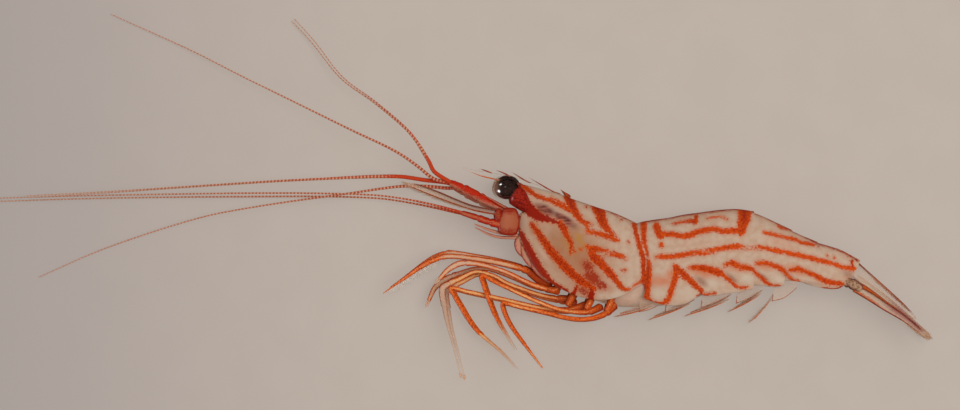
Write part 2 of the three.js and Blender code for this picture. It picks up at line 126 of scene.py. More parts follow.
# %% Finish helpers
class Finish:
    """A material with a Principled shader, whose even values are set straight on the shader."""

    def __init__(self, name, roughness, coat=0.0, specular=0.5):
        self.material = bpy.data.materials.new(name)
        self.material.use_nodes = True
        self.shader = self.material.node_tree.nodes["Principled BSDF"]
        self.even("Roughness", roughness)
        self.even("Coat Weight", coat)
        self.even("Coat Roughness", 0.08)
        self.even("Specular IOR Level", specular)

    def even(self, name, value):
        self.shader.inputs[name].default_value = value

    def plug(self, name, output):
        self.material.node_tree.links.new(output, self.shader.inputs[name])

    def node(self, kind, inputs=(), **settings):
        """Adds a shader node. Inputs are values, or the outputs of other nodes to link."""
        made = self.material.node_tree.nodes.new("ShaderNode" + kind)
        for key, value in settings.items():
            setattr(made, key, value)
        for key, value in dict(inputs).items():
            if isinstance(value, bpy.types.NodeSocket):
                self.material.node_tree.links.new(value, made.inputs[key])
            else:
                made.inputs[key].default_value = value
        return made

    def place(self):
        return self.node("TexCoord").outputs["Object"]

    def carried(self, name):
        """The value of a pattern that the mesh carries."""
        return self.node("Attribute", attribute_name=name).outputs["Fac"]

    def calc(self, operation, first, second=0.0):
        return self.node("Math", {0: first, 1: second}, operation=operation).outputs[0]

    def plus(self, first, second):
        return self.calc("ADD", first, second)

    def minus(self, first, second):
        return self.calc("SUBTRACT", first, second)

    def times(self, first, second):
        return self.calc("MULTIPLY", first, second)

    def larger(self, first, second):
        return self.calc("MAXIMUM", first, second)

    def blended(self, share, first, second):
        """The first colour where share is 0 and the second where it is 1."""
        return self.node("Mix", {0: share, 6: first, 7: second}, data_type="RGBA").outputs[2]

    def between(self, value, low, high, out_low=0.0, out_high=1.0):
        """Turns the range from low to high into a smooth step."""
        inputs = {"Value": value, "From Min": low, "From Max": high, "To Min": out_low, "To Max": out_high}
        return self.node("MapRange", inputs, interpolation_type="SMOOTHSTEP").outputs["Result"]

    def grain(self, size, stretch=(1, 1, 1)):
        """Noise whose blotches are about the given size in millimetres."""
        place = self.place()
        if stretch != (1, 1, 1):
            place = self.node("Mapping", {"Vector": place, "Scale": stretch}).outputs["Vector"]
        inputs = {"Vector": place, "Scale": 1 / (size * MM), "Detail": 2.0}
        return self.node("TexNoise", inputs).outputs["Fac"]

    def cells(self, size):
        """The distance from the middle of the nearest of many cells."""
        inputs = {"Vector": self.place(), "Scale": 1 / (size * MM)}
        return self.node("TexVoronoi", inputs).outputs["Distance"]

    def mottled(self, size, low, high, first, second):
        """Two colours in soft blotches."""
        return self.blended(self.between(self.grain(size), low, high), first, second)

    def speckled(self, amount, size=0.13):
        """Turns an amount from 0 to 1 into speckles that fill up as the amount grows."""
        return self.between(self.minus(amount, self.grain(size)), -0.2, 0.2)

    def bumped(self, height, depth):
        """Lets a pattern rise by about depth millimetres."""
        made = self.node("Bump", {"Height": height, "Strength": 1.0, "Distance": depth * MM})
        self.plug("Normal", made.outputs["Normal"])


# %% [markdown]
# The floor is a plain matt sheet in a warm grey. Most of its light is its own glow, which no shadow dims.
# Towards the feelers' tips its colour and its glow are a little darker, which is painted shade.

# %% Floor finish
FLOOR_GLOW = 0.62
sheet = Finish("floor_sheet", 0.8, specular=0.1)
tone = sheet.mottled(6.0, 0.3, 0.7, srgb(187, 175, 165), srgb(189, 177, 167))
across = sheet.node("SeparateXYZ", {"Vector": sheet.place()}).outputs["X"]
# painted shade: the sheet's colour and glow darken towards the feelers' tips
tone = sheet.blended(sheet.between(across, -0.085, -0.02), srgb(169, 160, 156), tone)
sheet.plug("Base Color", sheet.blended(FLOOR_GLOW, tone, (0, 0, 0, 1)))
sheet.plug("Emission Color", tone)
sheet.even("Emission Strength", FLOOR_GLOW)
floor.data.materials.append(sheet.material)

# %% [markdown]
# ## Shaping helpers
# Nearly every part of a shrimp is a tube, a blade or a curved plate. Each can start from the same
# primitive, a flat grid: one direction of the grid goes round or across the piece and the other along it.
# The grid's points are laid on the piece by a rule, then edit mode welds the seam and the poles, which
# also closes the ends. Every point carries its share of the way along and round the piece.

# %% Points and patterns
def points_of(piece):
    flat = np.empty(len(piece.data.vertices) * 3)
    piece.data.vertices.foreach_get("co", flat)
    return flat.reshape(-1, 3) / MM


def set_points(piece, points):
    piece.data.vertices.foreach_set("co", np.ascontiguousarray(points * MM).ravel())
    piece.data.update()


def read(piece, name):
    values = np.empty(len(piece.data.vertices), np.float32)
    piece.data.attributes[name].data.foreach_get("value", values)
    return values


def carry(piece, **patterns):
    """Stores patterns that a finish reads by name, each as one number or as one for each point."""
    for name, values in patterns.items():
        layer = piece.data.attributes.get(name) or piece.data.attributes.new(name, "FLOAT", "POINT")
        values = np.broadcast_to(values, len(piece.data.vertices))
        layer.data.foreach_set("value", np.ascontiguousarray(values, np.float32))


def tinge(piece, **patterns):
    """Stores how patterns change along a piece, as stops (share, value), or as one even value."""
    share = read(piece, "share")
    for name, stops in patterns.items():
        carry(piece, **{name: np.interp(share, *zip(*stops)) if np.ndim(stops) else stops})


def near(values, places, reach):
    """How near a share is to any of the given places, from 0 to 1."""
    return np.max([np.clip(1 - np.abs(values - place) / reach, 0, 1) for place in places], axis=0)


# %% Sheets and walls
WELD_REACH = 0.002  # points nearer than this are merged
CLEARANCE = 0.01  # no point lies lower than this


def only(piece):
    """Selects one piece and nothing else."""
    bpy.ops.object.select_all(action="DESELECT")
    piece.select_set(True)
    bpy.context.view_layer.objects.active = piece


def laid_grid(name, across, along, place):
    """A grid primitive laid by place(u, v), where u goes across and v along, both from 0 to 1. Points that
    meet are merged, the faces are turned outwards and the shading is smooth."""
    bpy.ops.object.select_all(action="DESELECT")
    bpy.ops.mesh.primitive_grid_add(x_subdivisions=across, y_subdivisions=along, size=2)
    piece = bpy.context.object
    piece.name = piece.data.name = name
    flat = points_of(piece) * MM
    u, v = (flat[:, 0] + 1) / 2, (flat[:, 1] + 1) / 2
    set_points(piece, place(u, v))
    carry(piece, share=v, round=u)
    only(piece)
    bpy.ops.object.mode_set(mode="EDIT")
    bpy.ops.mesh.select_all(action="SELECT")
    bpy.ops.mesh.remove_doubles(threshold=WELD_REACH * MM)
    bpy.ops.mesh.dissolve_degenerate(threshold=WELD_REACH * MM / 4)
    bpy.ops.mesh.normals_make_consistent(inside=False)
    bpy.ops.object.mode_set(mode="OBJECT")
    bpy.ops.object.shade_smooth()
    return piece


def over_floor(piece):
    """Lifts the points that would lie on the floor or under it."""
    points = points_of(piece)
    points[:, 2] = np.maximum(points[:, 2], CLEARANCE)
    set_points(piece, points)


def walled(piece, thickness, offset, crisp):
    """Gives a sheet its wall with Solidify. Edges sharper than crisp, in degrees, are not smoothed."""
    only(piece)
    modifier = piece.modifiers.new("wall", "SOLIDIFY")
    modifier.thickness = thickness * MM
    modifier.offset = offset
    bpy.ops.object.modifier_apply(modifier=modifier.name)
    over_floor(piece)
    only(piece)
    bpy.ops.object.shade_smooth_by_angle(angle=math.radians(crisp))


# %% Joining and finishing
def joined(name, pieces):
    """Joins several pieces into one mesh."""
    bpy.ops.object.select_all(action="DESELECT")
    for piece in pieces:
        piece.select_set(True)
    bpy.context.view_layer.objects.active = pieces[0]
    bpy.ops.object.join()
    whole = bpy.context.object
    whole.name = whole.data.name = name
    return whole


def finished(piece, finish, slot, *nodes):
    """Gives a piece its finish, its body and the solids that it stands for. Its slot is not used."""
    over_floor(piece)
    piece.data.materials.clear()
    piece.data.materials.append(finish.material)
    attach(piece, "root")
    if nodes:
        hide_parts(*nodes)


# %% [markdown]
# Routes are smooth curves through a few given points. A limb's route is mostly read from its solid, so that
# the looks stay on the frame. A tube then goes along a route.

# %% Routes
def smooth_through(values, shares):
    """A smooth curve through evenly spaced values, read at shares from 0 to 1. Each share may have its own
    list of values, as a third dimension between the other two."""
    values = np.asarray(values, float)
    if values.ndim == 1:
        values = values[:, None]
    padded = np.concatenate([[2 * values[0] - values[1]], values, [2 * values[-1] - values[-2]]])
    at = np.clip(np.asarray(shares, float), 0, 1) * (len(values) - 1)
    first = np.minimum(at.astype(int), len(values) - 2)
    t = (at - first)[:, None]
    own = (np.arange(len(at)),) if values.ndim == 3 else ()
    a, b, c, d = (padded[(first + i, *own)] for i in range(4))
    curve = (2 * b + (c - a) * t + (2 * a - 5 * b + 4 * c - d) * t**2 + (3 * b - a - 3 * c + d) * t**3) / 2
    return curve if curve.shape[1] > 1 else curve[:, 0]


def even_route(points, count):
    """A smooth route through given points, as count points with even spacing, and its length."""
    dense = smooth_through(points, np.linspace(0, 1, 400))
    steps = np.linalg.norm(np.diff(dense, axis=0), axis=1)
    reach = np.concatenate([[0], np.cumsum(steps)])
    at = np.linspace(0, reach[-1], count)
    return np.stack([np.interp(at, reach, dense[:, i]) for i in range(3)], axis=1), reach[-1]


RING_REACH = 0.42  # corners of a solid nearer than this belong to one ring


def spine_of(node_name, start):
    """The middle line of a thin solid: its corners are grouped into rings, and the rings' middles are put
    in order from the end nearest to start."""
    corners = np.unique(points_of(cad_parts[node_name]).round(4), axis=0)
    rings, free = [], list(range(len(corners)))
    while free:
        group = [free.pop()]
        for member in group:
            close = [i for i in free if np.linalg.norm(corners[i] - corners[member]) < RING_REACH]
            group += close
            free = [i for i in free if i not in close]
        rings.append(corners[group].mean(0))
    order, here = [], start
    while rings:
        here = min(rings, key=lambda ring: np.linalg.norm(ring - here))
        rings = [ring for ring in rings if ring is not here]
        order.append(here)
    return np.array(order)


def unit(rows):
    """Each row as a direction of length one."""
    return rows / np.linalg.norm(rows, axis=1)[:, None]


def on_middle(points):
    """Places on the middle plane."""
    return [(x, y, MID) for x, y in points]


def on_side(side, points, nearer=False):
    """Turns (x, y, rise from the middle plane) into places on one side. With nearer, x and y say where a
    place shows on the middle plane, as seen from the camera, and not where it lies."""
    placed = []
    for x, y, rise in points:
        plan = np.array([x, y], float)
        if nearer:
            plan = VIEW_CENTRE + (plan - VIEW_CENTRE) * (VIEW_DISTANCE - side * rise) / VIEW_DISTANCE
        placed.append((*plan, MID + side * rise))
    return placed


# %% Tubes
WAIST, WAIST_REACH = 0.22, 0.14  # how much a limb narrows at a joint, and how far along it
SWELLING, SWELLING_REACH, SWELLING_BEFORE = 0.12, 0.25, 0.35  # the same for the swelling before a joint
SMALLEST_END = 0.02  # even a pointed end is rounded off over this length


def tube(name, points, radii, sides=10, pitch=0.35, tall=1.0, tips=(0.6, 0.6), joints=()):
    """A limb along a route. Radii are even along it; tall stretches the section upwards, and may be a
    list as the radii are. Tips say how blunt the two ends are, as shares of the radius there. At each
    joint, given as a share of the length, the limb has a waist with a swelling before it."""
    _, length = even_route(points, 50)
    rows = max(8, int(length / pitch))
    route, length = even_route(points, rows * 2)
    ends = [max(SMALLEST_END, tips[0] * radii[0]), max(SMALLEST_END, tips[1] * radii[-1])]
    round_off = 1 - np.cos(np.linspace(0, math.pi / 2, 4)[1:])
    along = [np.linspace(0, length, rows + 1), ends[0] * round_off, length - ends[1] * round_off]
    along = np.unique(np.clip(np.concatenate(along), 0, length).round(5))
    shares = along / length
    centre = np.stack([np.interp(shares, np.linspace(0, 1, len(route)), route[:, i]) for i in range(3)], 1)
    forward = unit(np.gradient(centre, along, axis=0))
    side = unit(np.cross([0, 0, 1], forward))
    up = np.cross(forward, side)
    radius = smooth_through(radii, shares)
    for distance, end in ((along, ends[0]), (length - along, ends[1])):
        radius = radius * np.sqrt(1 - np.clip(1 - distance / end, 0, 1) ** 2)
    for joint in joints:
        past = along - joint * length
        waist = WAIST * np.exp(-((past / WAIST_REACH) ** 2))
        swelling = SWELLING * np.exp(-(((past + SWELLING_BEFORE) / SWELLING_REACH) ** 2))
        radius = radius * (1 - waist + swelling)
    stretch = smooth_through(tall, shares) if np.ndim(tall) else np.full(len(shares), tall)

    def place(u, v):
        row = np.rint(v * (len(along) - 1)).astype(int)
        angle = 2 * math.pi * u
        out = (side[row].T * np.cos(angle) + up[row].T * np.sin(angle) * stretch[row]) * radius[row]
        return centre[row] + out.T

    piece = laid_grid(name, sides, len(along) - 1, place)
    row = np.rint(read(piece, "share") * (len(along) - 1)).astype(int)
    upper = np.sign(side[:, 1] + 1e-6)
    out = np.einsum("ij,ij->i", points_of(piece) - centre[row], side[row]) * upper[row]
    carry(piece, share=shares[row], reach=along[row], top=out / np.maximum(radius[row], 0.01))
    return piece


# %% [markdown]
# ## Markings
# The stripes are the same on both sides, so they are laid out once, on the middle plane, and thrown out to
# each flank along the line of sight. A stripe is a route with a half width at each of its points. Each
# point of a mesh then carries how deep it lies inside the nearest stripe, and the finish turns that depth
# into a ragged edge with noise. So the stripes run on from plate to plate without any image.

# %% The stripes
# Name: (how dark it is, [(x, y, half width), ...]) in millimetres.
STRIPES = {
    "front_rim": (1.0, [(-8.3, 4.9, 0.08), (-8.6, 3.8, 0.15), (-8.45, 2.9, 0.17), (-8.0, 2.4, 0.2)]),
    "front_margin": (1.1, [
        (-8.05, 2.4, 0.28), (-7.35, 0.8, 0.46), (-6.5, -0.8, 0.46), (-5.6, -2.1, 0.36), (-4.3, -3.35, 0.2),
        (-2.6, -4.3, 0.1)]),
    "maroon": (1.4, [
        (-7.7, 6.0, 0.7), (-6.9, 5.1, 0.62), (-5.8, 4.4, 0.44), (-4.6, 4.1, 0.28), (-3.5, 3.8, 0.16),
        (-2.9, 3.3, 0.1)]),
    "coxa_3": (1.2, [(-1.6, -3.9, 0.12), (-2.1, -4.7, 0.34), (-2.5, -5.3, 0.34)]),
    "coxa_4": (1.2, [(0.2, -3.8, 0.14), (0.2, -4.6, 0.34), (0.0, -5.4, 0.36)]),
    "cheek": (0.55, [
        (-6.9, 3.6, 0.23), (-6.2, 2.7, 0.34), (-4.7, 0.5, 0.44), (-2.9, -1.5, 0.5), (-1.1, -3.1, 0.42),
        (0.5, -4.0, 0.22)]),
    "liver_side": (0.55, [
        (-3.6, 3.8, 0.3), (-3.1, 3.1, 0.36), (-2.7, 2.2, 0.26), (-2.2, 1.3, 0.2), (-2.3, 0.4, 0.12)]),
    "fork_root": (0.3, [(-2.4, 0.1, 0.08), (-1.5, 0.5, 0.1), (-0.5, 1.0, 0.17), (0.4, 0.7, 0.3)]),
    "fork_upper": (0.45, [(0.4, 0.8, 0.32), (1.5, 0.5, 0.28), (3.8, -0.2, 0.25), (4.3, -0.4, 0.16)]),
    "fork_lower": (0.5, [
        (0.1, 0.5, 0.34), (0.4, -0.3, 0.45), (1.2, -0.9, 0.45), (2.5, -2.3, 0.4), (3.7, -3.8, 0.25),
        (4.2, -4.1, 0.15), (4.7, -4.0, 0.1)]),
    "fork_link": (0.3, [(5.1, -3.7, 0.07), (5.6, -3.3, 0.11), (6.0, -3.1, 0.09)]),
    "saddle": (0.5, [
        (0.7, 6.0, 0.7), (0.9, 5.5, 0.68), (1.2, 4.9, 0.62), (1.5, 3.8, 0.5), (2.1, 3.0, 0.33),
        (2.6, 2.6, 0.15), (3.0, 2.3, 0.07)]),
    "saddle_branch": (0.4, [(-0.4, 2.7, 0.18), (0.4, 2.7, 0.22), (2.4, 2.1, 0.28), (3.3, 1.7, 0.16)]),
    "tooth_band": (0.55, [
        (-3.1, 7.5, 0.25), (-2.8, 7.1, 0.4), (-2.4, 6.4, 0.54), (-2.0, 5.5, 0.42), (-1.5, 4.6, 0.34),
        (-0.9, 3.9, 0.23), (0.2, 3.6, 0.1)]),
    "tooth_twig": (0.3, [(-0.7, 3.8, 0.12), (-0.2, 3.3, 0.14), (-0.5, 2.7, 0.11)]),
    "brow": (0.45, [
        (-8.5, 8.6, 0.16), (-7.7, 8.0, 0.26), (-6.7, 7.2, 0.24), (-5.8, 6.8, 0.19), (-4.7, 6.4, 0.19),
        (-3.6, 5.9, 0.18), (-2.4, 5.3, 0.22)]),
    "brow_twin": (0.3, [(-4.7, 6.8, 0.07), (-3.8, 6.4, 0.09), (-2.9, 5.9, 0.09)]),
    "rear_margin": (0.6, [
        (5.2, 3.6, 0.27), (5.4, 2.7, 0.2), (5.7, 1.5, 0.27), (6.0, 0.6, 0.25), (6.3, -0.5, 0.25),
        (6.3, -2.8, 0.2), (6.0, -3.3, 0.12)]),
    "first_band": (0.3, [
        (6.3, 3.9, 0.34), (6.3, 2.7, 0.31), (6.4, 1.5, 0.25), (6.6, 0.6, 0.14), (6.8, -0.1, 0.07)]),
    "first_band_low": (0.35, [
        (6.9, -0.7, 0.2), (6.9, -1.6, 0.34), (6.8, -2.8, 0.45), (6.6, -3.9, 0.48), (6.6, -4.8, 0.38),
        (6.8, -5.1, 0.23), (7.4, -5.5, 0.1), (8.0, -5.7, 0.1), (8.6, -5.7, 0.17), (9.2, -5.3, 0.25),
        (9.5, -4.4, 0.3), (9.8, -3.5, 0.3), (10.1, -2.6, 0.36), (10.1, -1.7, 0.3)]),
    "back_line": (1.1, [
        (5.9, 3.85, 0.08), (7.7, 4.18, 0.12), (10.2, 4.6, 0.09), (12.9, 5.0, 0.07), (16.8, 5.42, 0.05),
        (17.6, 5.4, 0.06)]),
    "block": (0.35, [(7.8, 3.5, 0.36), (8.0, 2.8, 0.42), (8.3, 2.2, 0.34)]),
    "upper": (0.3, [
        (8.4, 2.5, 0.29), (9.9, 2.4, 0.31), (11.0, 2.2, 0.26), (12.0, 2.4, 0.36), (12.9, 2.8, 0.31),
        (14.6, 3.1, 0.27), (15.6, 2.8, 0.27), (17.7, 2.9, 0.36)]),
    "back_block": (0.35, [
        (18.2, 5.4, 0.8), (18.2, 4.3, 0.72), (18.0, 3.6, 0.62), (17.9, 2.8, 0.42), (17.7, 2.4, 0.2)]),
    "back_dash": (0.5, [
        (9.8, 3.7, 0.08), (10.8, 3.9, 0.12), (11.7, 4.0, 0.15), (12.4, 3.9, 0.26), (12.5, 4.6, 0.2)]),
    "back_dash_faint": (0.1, [(13.7, 4.3, 0.02), (14.7, 4.5, 0.03), (15.6, 4.5, 0.07), (16.2, 4.2, 0.02)]),
    "middle": (0.25, [
        (7.7, -0.3, 0.2), (8.6, -0.2, 0.27), (10.5, -0.1, 0.26), (12.6, 0.3, 0.29), (13.7, 0.3, 0.32),
        (15.6, 0.8, 0.28), (17.4, 1.0, 0.32), (18.5, 0.75, 0.12), (20.0, 0.9, 0.22), (22.7, 0.4, 0.24),
        (26.2, -0.4, 0.24), (28.2, -0.9, 0.22), (30.1, -1.5, 0.2), (31.1, -1.6, 0.24), (31.7, -1.8, 0.15)]),
    "back_twig": (0.3, [
        (20.5, 2.7, 0.14), (21.3, 2.5, 0.19), (22.9, 2.1, 0.15), (24.0, 1.9, 0.19), (24.8, 1.5, 0.16),
        (26.4, 1.2, 0.13)]),
    "back_twig_root": (0.4, [(22.2, 3.5, 0.1), (22.5, 3.2, 0.13), (23.3, 3.1, 0.14)]),
    "hook_2": (0.45, [
        (10.1, -1.5, 0.38), (10.8, -2.1, 0.38), (12.3, -3.5, 0.3), (13.1, -4.2, 0.2), (13.1, -5.2, 0.1)]),
    "hook_2_toe": (0.4, [(12.8, -4.9, 0.14), (13.7, -4.7, 0.14), (14.7, -4.5, 0.1)]),
    "hook_3": (0.4, [
        (11.7, -1.5, 0.18), (12.9, -1.5, 0.32), (14.0, -1.7, 0.37), (15.3, -2.1, 0.43), (15.8, -2.4, 0.22),
        (16.4, -3.0, 0.17), (17.1, -3.6, 0.16), (17.9, -3.9, 0.12), (18.7, -3.8, 0.08)]),
    "hook_4": (0.4, [
        (15.9, -1.2, 0.18), (16.8, -0.9, 0.28), (17.6, -1.4, 0.23), (18.5, -1.5, 0.31), (19.1, -1.7, 0.22),
        (19.5, -2.1, 0.16), (21.0, -3.4, 0.16), (21.6, -3.6, 0.1), (22.3, -3.6, 0.06)]),
    "hook_5": (0.4, [
        (19.7, -1.0, 0.17), (20.6, -0.9, 0.23), (21.5, -1.2, 0.23), (22.6, -1.6, 0.25), (23.3, -2.4, 0.14),
        (24.0, -3.0, 0.13), (24.7, -3.1, 0.11)]),
    "lower_6": (0.4, [
        (23.6, -1.8, 0.17), (24.6, -1.6, 0.2), (25.3, -1.9, 0.18), (26.3, -2.3, 0.23), (27.2, -2.8, 0.25),
        (28.0, -3.2, 0.27), (29.8, -3.4, 0.22)]),
    "back_edge": (1.0, [
        (18.9, 5.2, 0.05), (20.6, 4.5, 0.05), (23.3, 3.1, 0.06), (24.8, 2.45, 0.05), (26.6, 1.5, 0.07),
        (28.2, 1.0, 0.05), (29.7, 0.45, 0.05), (31.6, -0.7, 0.07)]),
    "carapace_edge": (1.0, [(-2.1, 6.75, 0.04), (-0.7, 6.3, 0.05), (2.1, 5.25, 0.05), (5.0, 4.0, 0.04)]),
    "tail_knot": (0.7, [(30.9, -0.7, 0.14), (30.9, -1.1, 0.12), (31.0, -1.5, 0.2)]),
    "lower_edge": (1.2, [(27.4, -3.9, 0.05), (28.8, -4.0, 0.07), (30.1, -3.7, 0.06)]),
}
# Single dots: (x, y, radius).
DOTS = [(4.5, 1.5, 0.15), (4.1, -1.8, 0.16), (3.7, -1.8, 0.07), (-0.5, 5.7, 0.08), (-1.0, 4.6, 0.07),
        (3.2, 4.6, 0.09), (3.7, 4.2, 0.08), (8.4, 1.2, 0.3), (26.9, 1.1, 0.08), (28.0, -0.1, 0.06),
        (28.8, -0.3, 0.08)]

OUTSIDE = -99.0  # the depth of a point before any stripe has been measured
DEEPEST_OUTSIDE = -2  # past this, how far a point lies from the stripes makes no difference


def side_view(points):
    """Where points land on the middle plane when they are seen from straight off the nearer flank."""
    rise = np.abs(points[:, 2] - MID)
    spread = VIEW_DISTANCE / (VIEW_DISTANCE - rise)
    return VIEW_CENTRE + (points[:, :2] - VIEW_CENTRE) * spread[:, None]


def depth_in_route(seen, route):
    """How deep each point lies inside a route with half widths; below zero outside it."""
    route = np.array(route)
    deepest = np.full(len(seen), OUTSIDE)
    for start, end in zip(route[:-1], route[1:]):
        line = end[:2] - start[:2]
        share = np.clip(((seen - start[:2]) @ line) / (line @ line), 0, 1)
        nearest = start[:2] + share[:, None] * line
        depth = start[2] + share * (end[2] - start[2]) - np.linalg.norm(seen - nearest, axis=1)
        deepest = np.maximum(deepest, depth)
    return deepest


FULL_UNTIL = 0.35  # a patch is even out to this share of its radius, then fades
FALL_OFF = 1.5


def soft_patches(seen, patches):
    """One soft mask, from patches given as (x, y, long radius, short radius, turn in degrees, strength)."""
    mask = np.zeros(len(seen))
    for x, y, long, short, turn, strength in patches:
        turned = np.deg2rad(turn)
        along = (seen[:, 0] - x) * math.cos(turned) + (seen[:, 1] - y) * math.sin(turned)
        across = (seen[:, 1] - y) * math.cos(turned) - (seen[:, 0] - x) * math.sin(turned)
        reach = np.sqrt((along / long) ** 2 + (across / short) ** 2)
        mask = np.maximum(mask, strength * np.clip(FULL_UNTIL + 1 - reach, 0, 1) ** FALL_OFF)
    return mask


# %% [markdown]
# Organs show through the shell as soft patches: the streaked stomach behind the eye, the olive digestive
# gland in the middle, and red and pink washes where pigment lies deeper. The lower edges of the tail's
# side plates are nearly clear.

# %% Soft colours under the shell
# Name: [(x, y, long radius, short radius, turn in degrees, strength), ...]
PATCHES = {
    "stomach": [(-5.4, 5.3, 1.7, 0.72, -24, 1.3), (-3.1, 4.2, 1.9, 0.62, -32, 1.3)],
    "gland": [
        (-4.0, 1.8, 1.6, 1.2, -50, 0.7), (-2.3, 2.0, 1.0, 0.8, 0, 0.8), (-1.6, 0.0, 1.4, 1.0, -40, 0.75),
        (-2.2, 0.4, 6.2, 4.6, -42, 0.72), (-6.6, 3.2, 1.3, 1.6, 20, 0.6)],
    "yellow": [
        (-1.3, 2.0, 0.8, 0.5, -60, 1.0), (-1.0, 1.0, 0.6, 0.4, 0, 0.9), (-2.6, 1.2, 1.2, 0.7, -50, 0.5)],
    "rust": [
        (0.2, -2.7, 1.8, 1.3, -40, 1.0), (-0.3, -1.2, 1.4, 0.9, -30, 0.9), (-0.8, -4.2, 1.8, 0.9, -30, 0.8),
        (1.3, -3.6, 1.4, 0.8, -20, 0.9), (-3.5, 0.6, 0.6, 0.4, -40, 0.4)],
    "blush": [
        (8.3, -3.1, 2.0, 0.75, 0, 0.9), (9.5, -2.4, 0.8, 0.8, 0, 0.9), (13.4, -2.0, 2.0, 0.8, -12, 0.9),
        (17.4, -1.4, 1.6, 0.7, -10, 0.9), (20.6, -1.2, 1.5, 0.65, -8, 0.9),
        (24.4, -1.8, 1.7, 0.7, -15, 0.9), (26.9, -2.9, 0.9, 0.3, -25, 0.6), (22.5, 1.4, 2.5, 0.6, -18, 0.3),
        (12.5, 1.4, 3.5, 0.6, 5, 0.15), (30.5, -2.7, 0.7, 0.6, 0, 0.4)],
    "shade": [
        (13.1, -3.1, 1.0, 0.5, -40, 0.8), (16.7, -2.8, 1.1, 0.45, -40, 0.9),
        (20.4, -2.7, 1.1, 0.45, -40, 0.9), (23.4, -2.5, 0.9, 0.4, -30, 0.8),
        (30.4, -2.2, 0.9, 0.6, -20, 0.6), (26.5, -3.4, 1.8, 0.3, -10, 0.4)],
    "window": [
        (8.1, -4.3, 0.8, 0.8, 0, 0.5), (11.4, -4.6, 1.4, 0.8, -20, 0.7), (14.4, -3.3, 0.9, 0.6, -30, 1.0),
        (18.5, -2.8, 0.8, 0.5, -20, 1.0), (22.3, -2.9, 0.9, 0.5, -20, 1.0),
        (26.5, -3.6, 1.8, 0.3, -15, 0.5), (3.2, -4.9, 1.4, 0.5, 30, 0.7), (-6.5, 8.2, 1.8, 0.3, -28, 0.5)],
    "pale": [
        (-7.4, 3.4, 0.4, 0.8, 0, 0.25), (-3.2, 4.9, 1.8, 0.2, -30, 0.7), (-5.6, 0.2, 1.6, 0.4, -55, 0.4)],
}


def paint(piece):
    """Stores the stripes and the soft patches on a mesh's points."""
    seen = side_view(points_of(piece))
    depth, darkness = np.full(len(seen), OUTSIDE), np.zeros(len(seen))
    for dark, route in STRIPES.values():
        inside = depth_in_route(seen, route)
        darkness = np.where(inside > depth, dark, darkness)
        depth = np.maximum(depth, inside)
    for x, y, radius in DOTS:
        depth = np.maximum(depth, radius - np.linalg.norm(seen - [x, y], axis=1))
    carry(piece, stripe=np.maximum(depth, DEEPEST_OUTSIDE), dark=darkness)
    carry(piece, **{name: soft_patches(seen, patches) for name, patches in PATCHES.items()})


print(len(STRIPES), "stripes,", len(DOTS), "dots and", len(PATCHES), "kinds of soft patches")

# %% [markdown]
# The shell's finish starts from the pale flesh, lays the organs on it as soft tints, and the stripes over
# them. A stripe is made of tiny red cells on an orange ground, so it gets its own grain. Light goes a
# little way into the flesh, which subsurface scattering gives, and a wet coat makes the shine sharp.

# %% Shell finish
FLESH = srgb(190, 165, 145)
STRIPE_ORANGE = srgb(206, 76, 8)
STRIPE_RED = srgb(140, 18, 0)
CELL_SIZE = 0.18  # across a pigment cell

TINTS = {  # the patches that are laid on the flesh, in this order: (colour, strength)
    "window": (srgb(193, 175, 157), 0.9),
    "blush": (srgb(194, 110, 72), 0.8),
    "gland": (srgb(156, 96, 54), 1.0),
    "shade": (srgb(138, 94, 74), 0.9),
    "yellow": (srgb(176, 124, 62), 0.9),
    "pale": (srgb(206, 176, 156), 0.9),
    "rust": (srgb(170, 88, 56), 0.85),
}


def tinted(finish, colour, patch, tint, strength):
    """Lays a tint over a colour where the mesh carries the named patch."""
    return finish.blended(finish.times(finish.carried(patch), strength), colour, tint)


def striped(finish, colour):
    """Lays the stripes, with ragged edges and a grain of red cells, over a colour."""
    stripe = finish.carried("stripe")
    colour = finish.blended(finish.between(stripe, -0.45, 0.05, 0.0, 0.42), colour, srgb(194, 106, 58))
    cells = finish.between(finish.cells(CELL_SIZE), 0.2, 0.65, 1.0, 0.0)
    ragged = stripe
    for rough, height in ((cells, 0.2), (finish.grain(0.5), 0.3), (finish.grain(0.12), 0.25)):
        ragged = finish.plus(ragged, finish.times(finish.minus(rough, 0.5), height))
    darker = finish.plus(finish.carried("dark"), finish.larger(stripe, 0.0))
    darker = finish.plus(darker, finish.times(cells, 0.8))
    red = finish.blended(finish.between(darker, 0.1, 1.75), STRIPE_ORANGE, STRIPE_RED)
    return finish.blended(finish.between(ragged, -0.13, -0.02, 0.0, 0.97), colour, red)


shell = Finish("shell", 0.5, coat=0.03, specular=0.05)
colour = shell.mottled(0.7, 0.3, 0.7, FLESH, srgb(184, 153, 131))
for patch, (tint, strength) in TINTS.items():
    colour = tinted(shell, colour, patch, tint, strength)
specks = shell.minus(shell.times(shell.carried("rust"), 0.68), shell.grain(0.26))
colour = shell.blended(shell.between(specks, -0.12, 0.1, 0.0, 0.9), colour, srgb(148, 44, 18))
streaks = shell.between(shell.grain(0.35, stretch=(0.35, 1.6, 1)), 0.32, 0.68)
stomach = shell.blended(streaks, srgb(94, 44, 42), srgb(150, 92, 76))
colour = shell.blended(shell.carried("stomach"), colour, stomach)
shell.plug("Base Color", striped(shell, colour))
shell.even("Subsurface Weight", 0.1)
shell.even("Subsurface Scale", 0.35 * MM)
shell.even("Subsurface Radius", (1.0, 0.5, 0.35))
shell.bumped(shell.grain(0.2), 0.01)
print("the shell's finish has", len(shell.material.node_tree.nodes), "nodes")

# %% [markdown]
# ## Carapace and tail plates
# A shrimp's shell plates are thin saddles, open below, and each one's rear edge laps over the next. The
# grid's long way goes from head to tail, and its short way from the lower edge of one flank over the back
# to the other. A ring gives the plate's back and lower edge as seen from the side, its half width, and how
# far the middle of the flank bows backwards. Solidify then gives the plate its thickness, inwards.

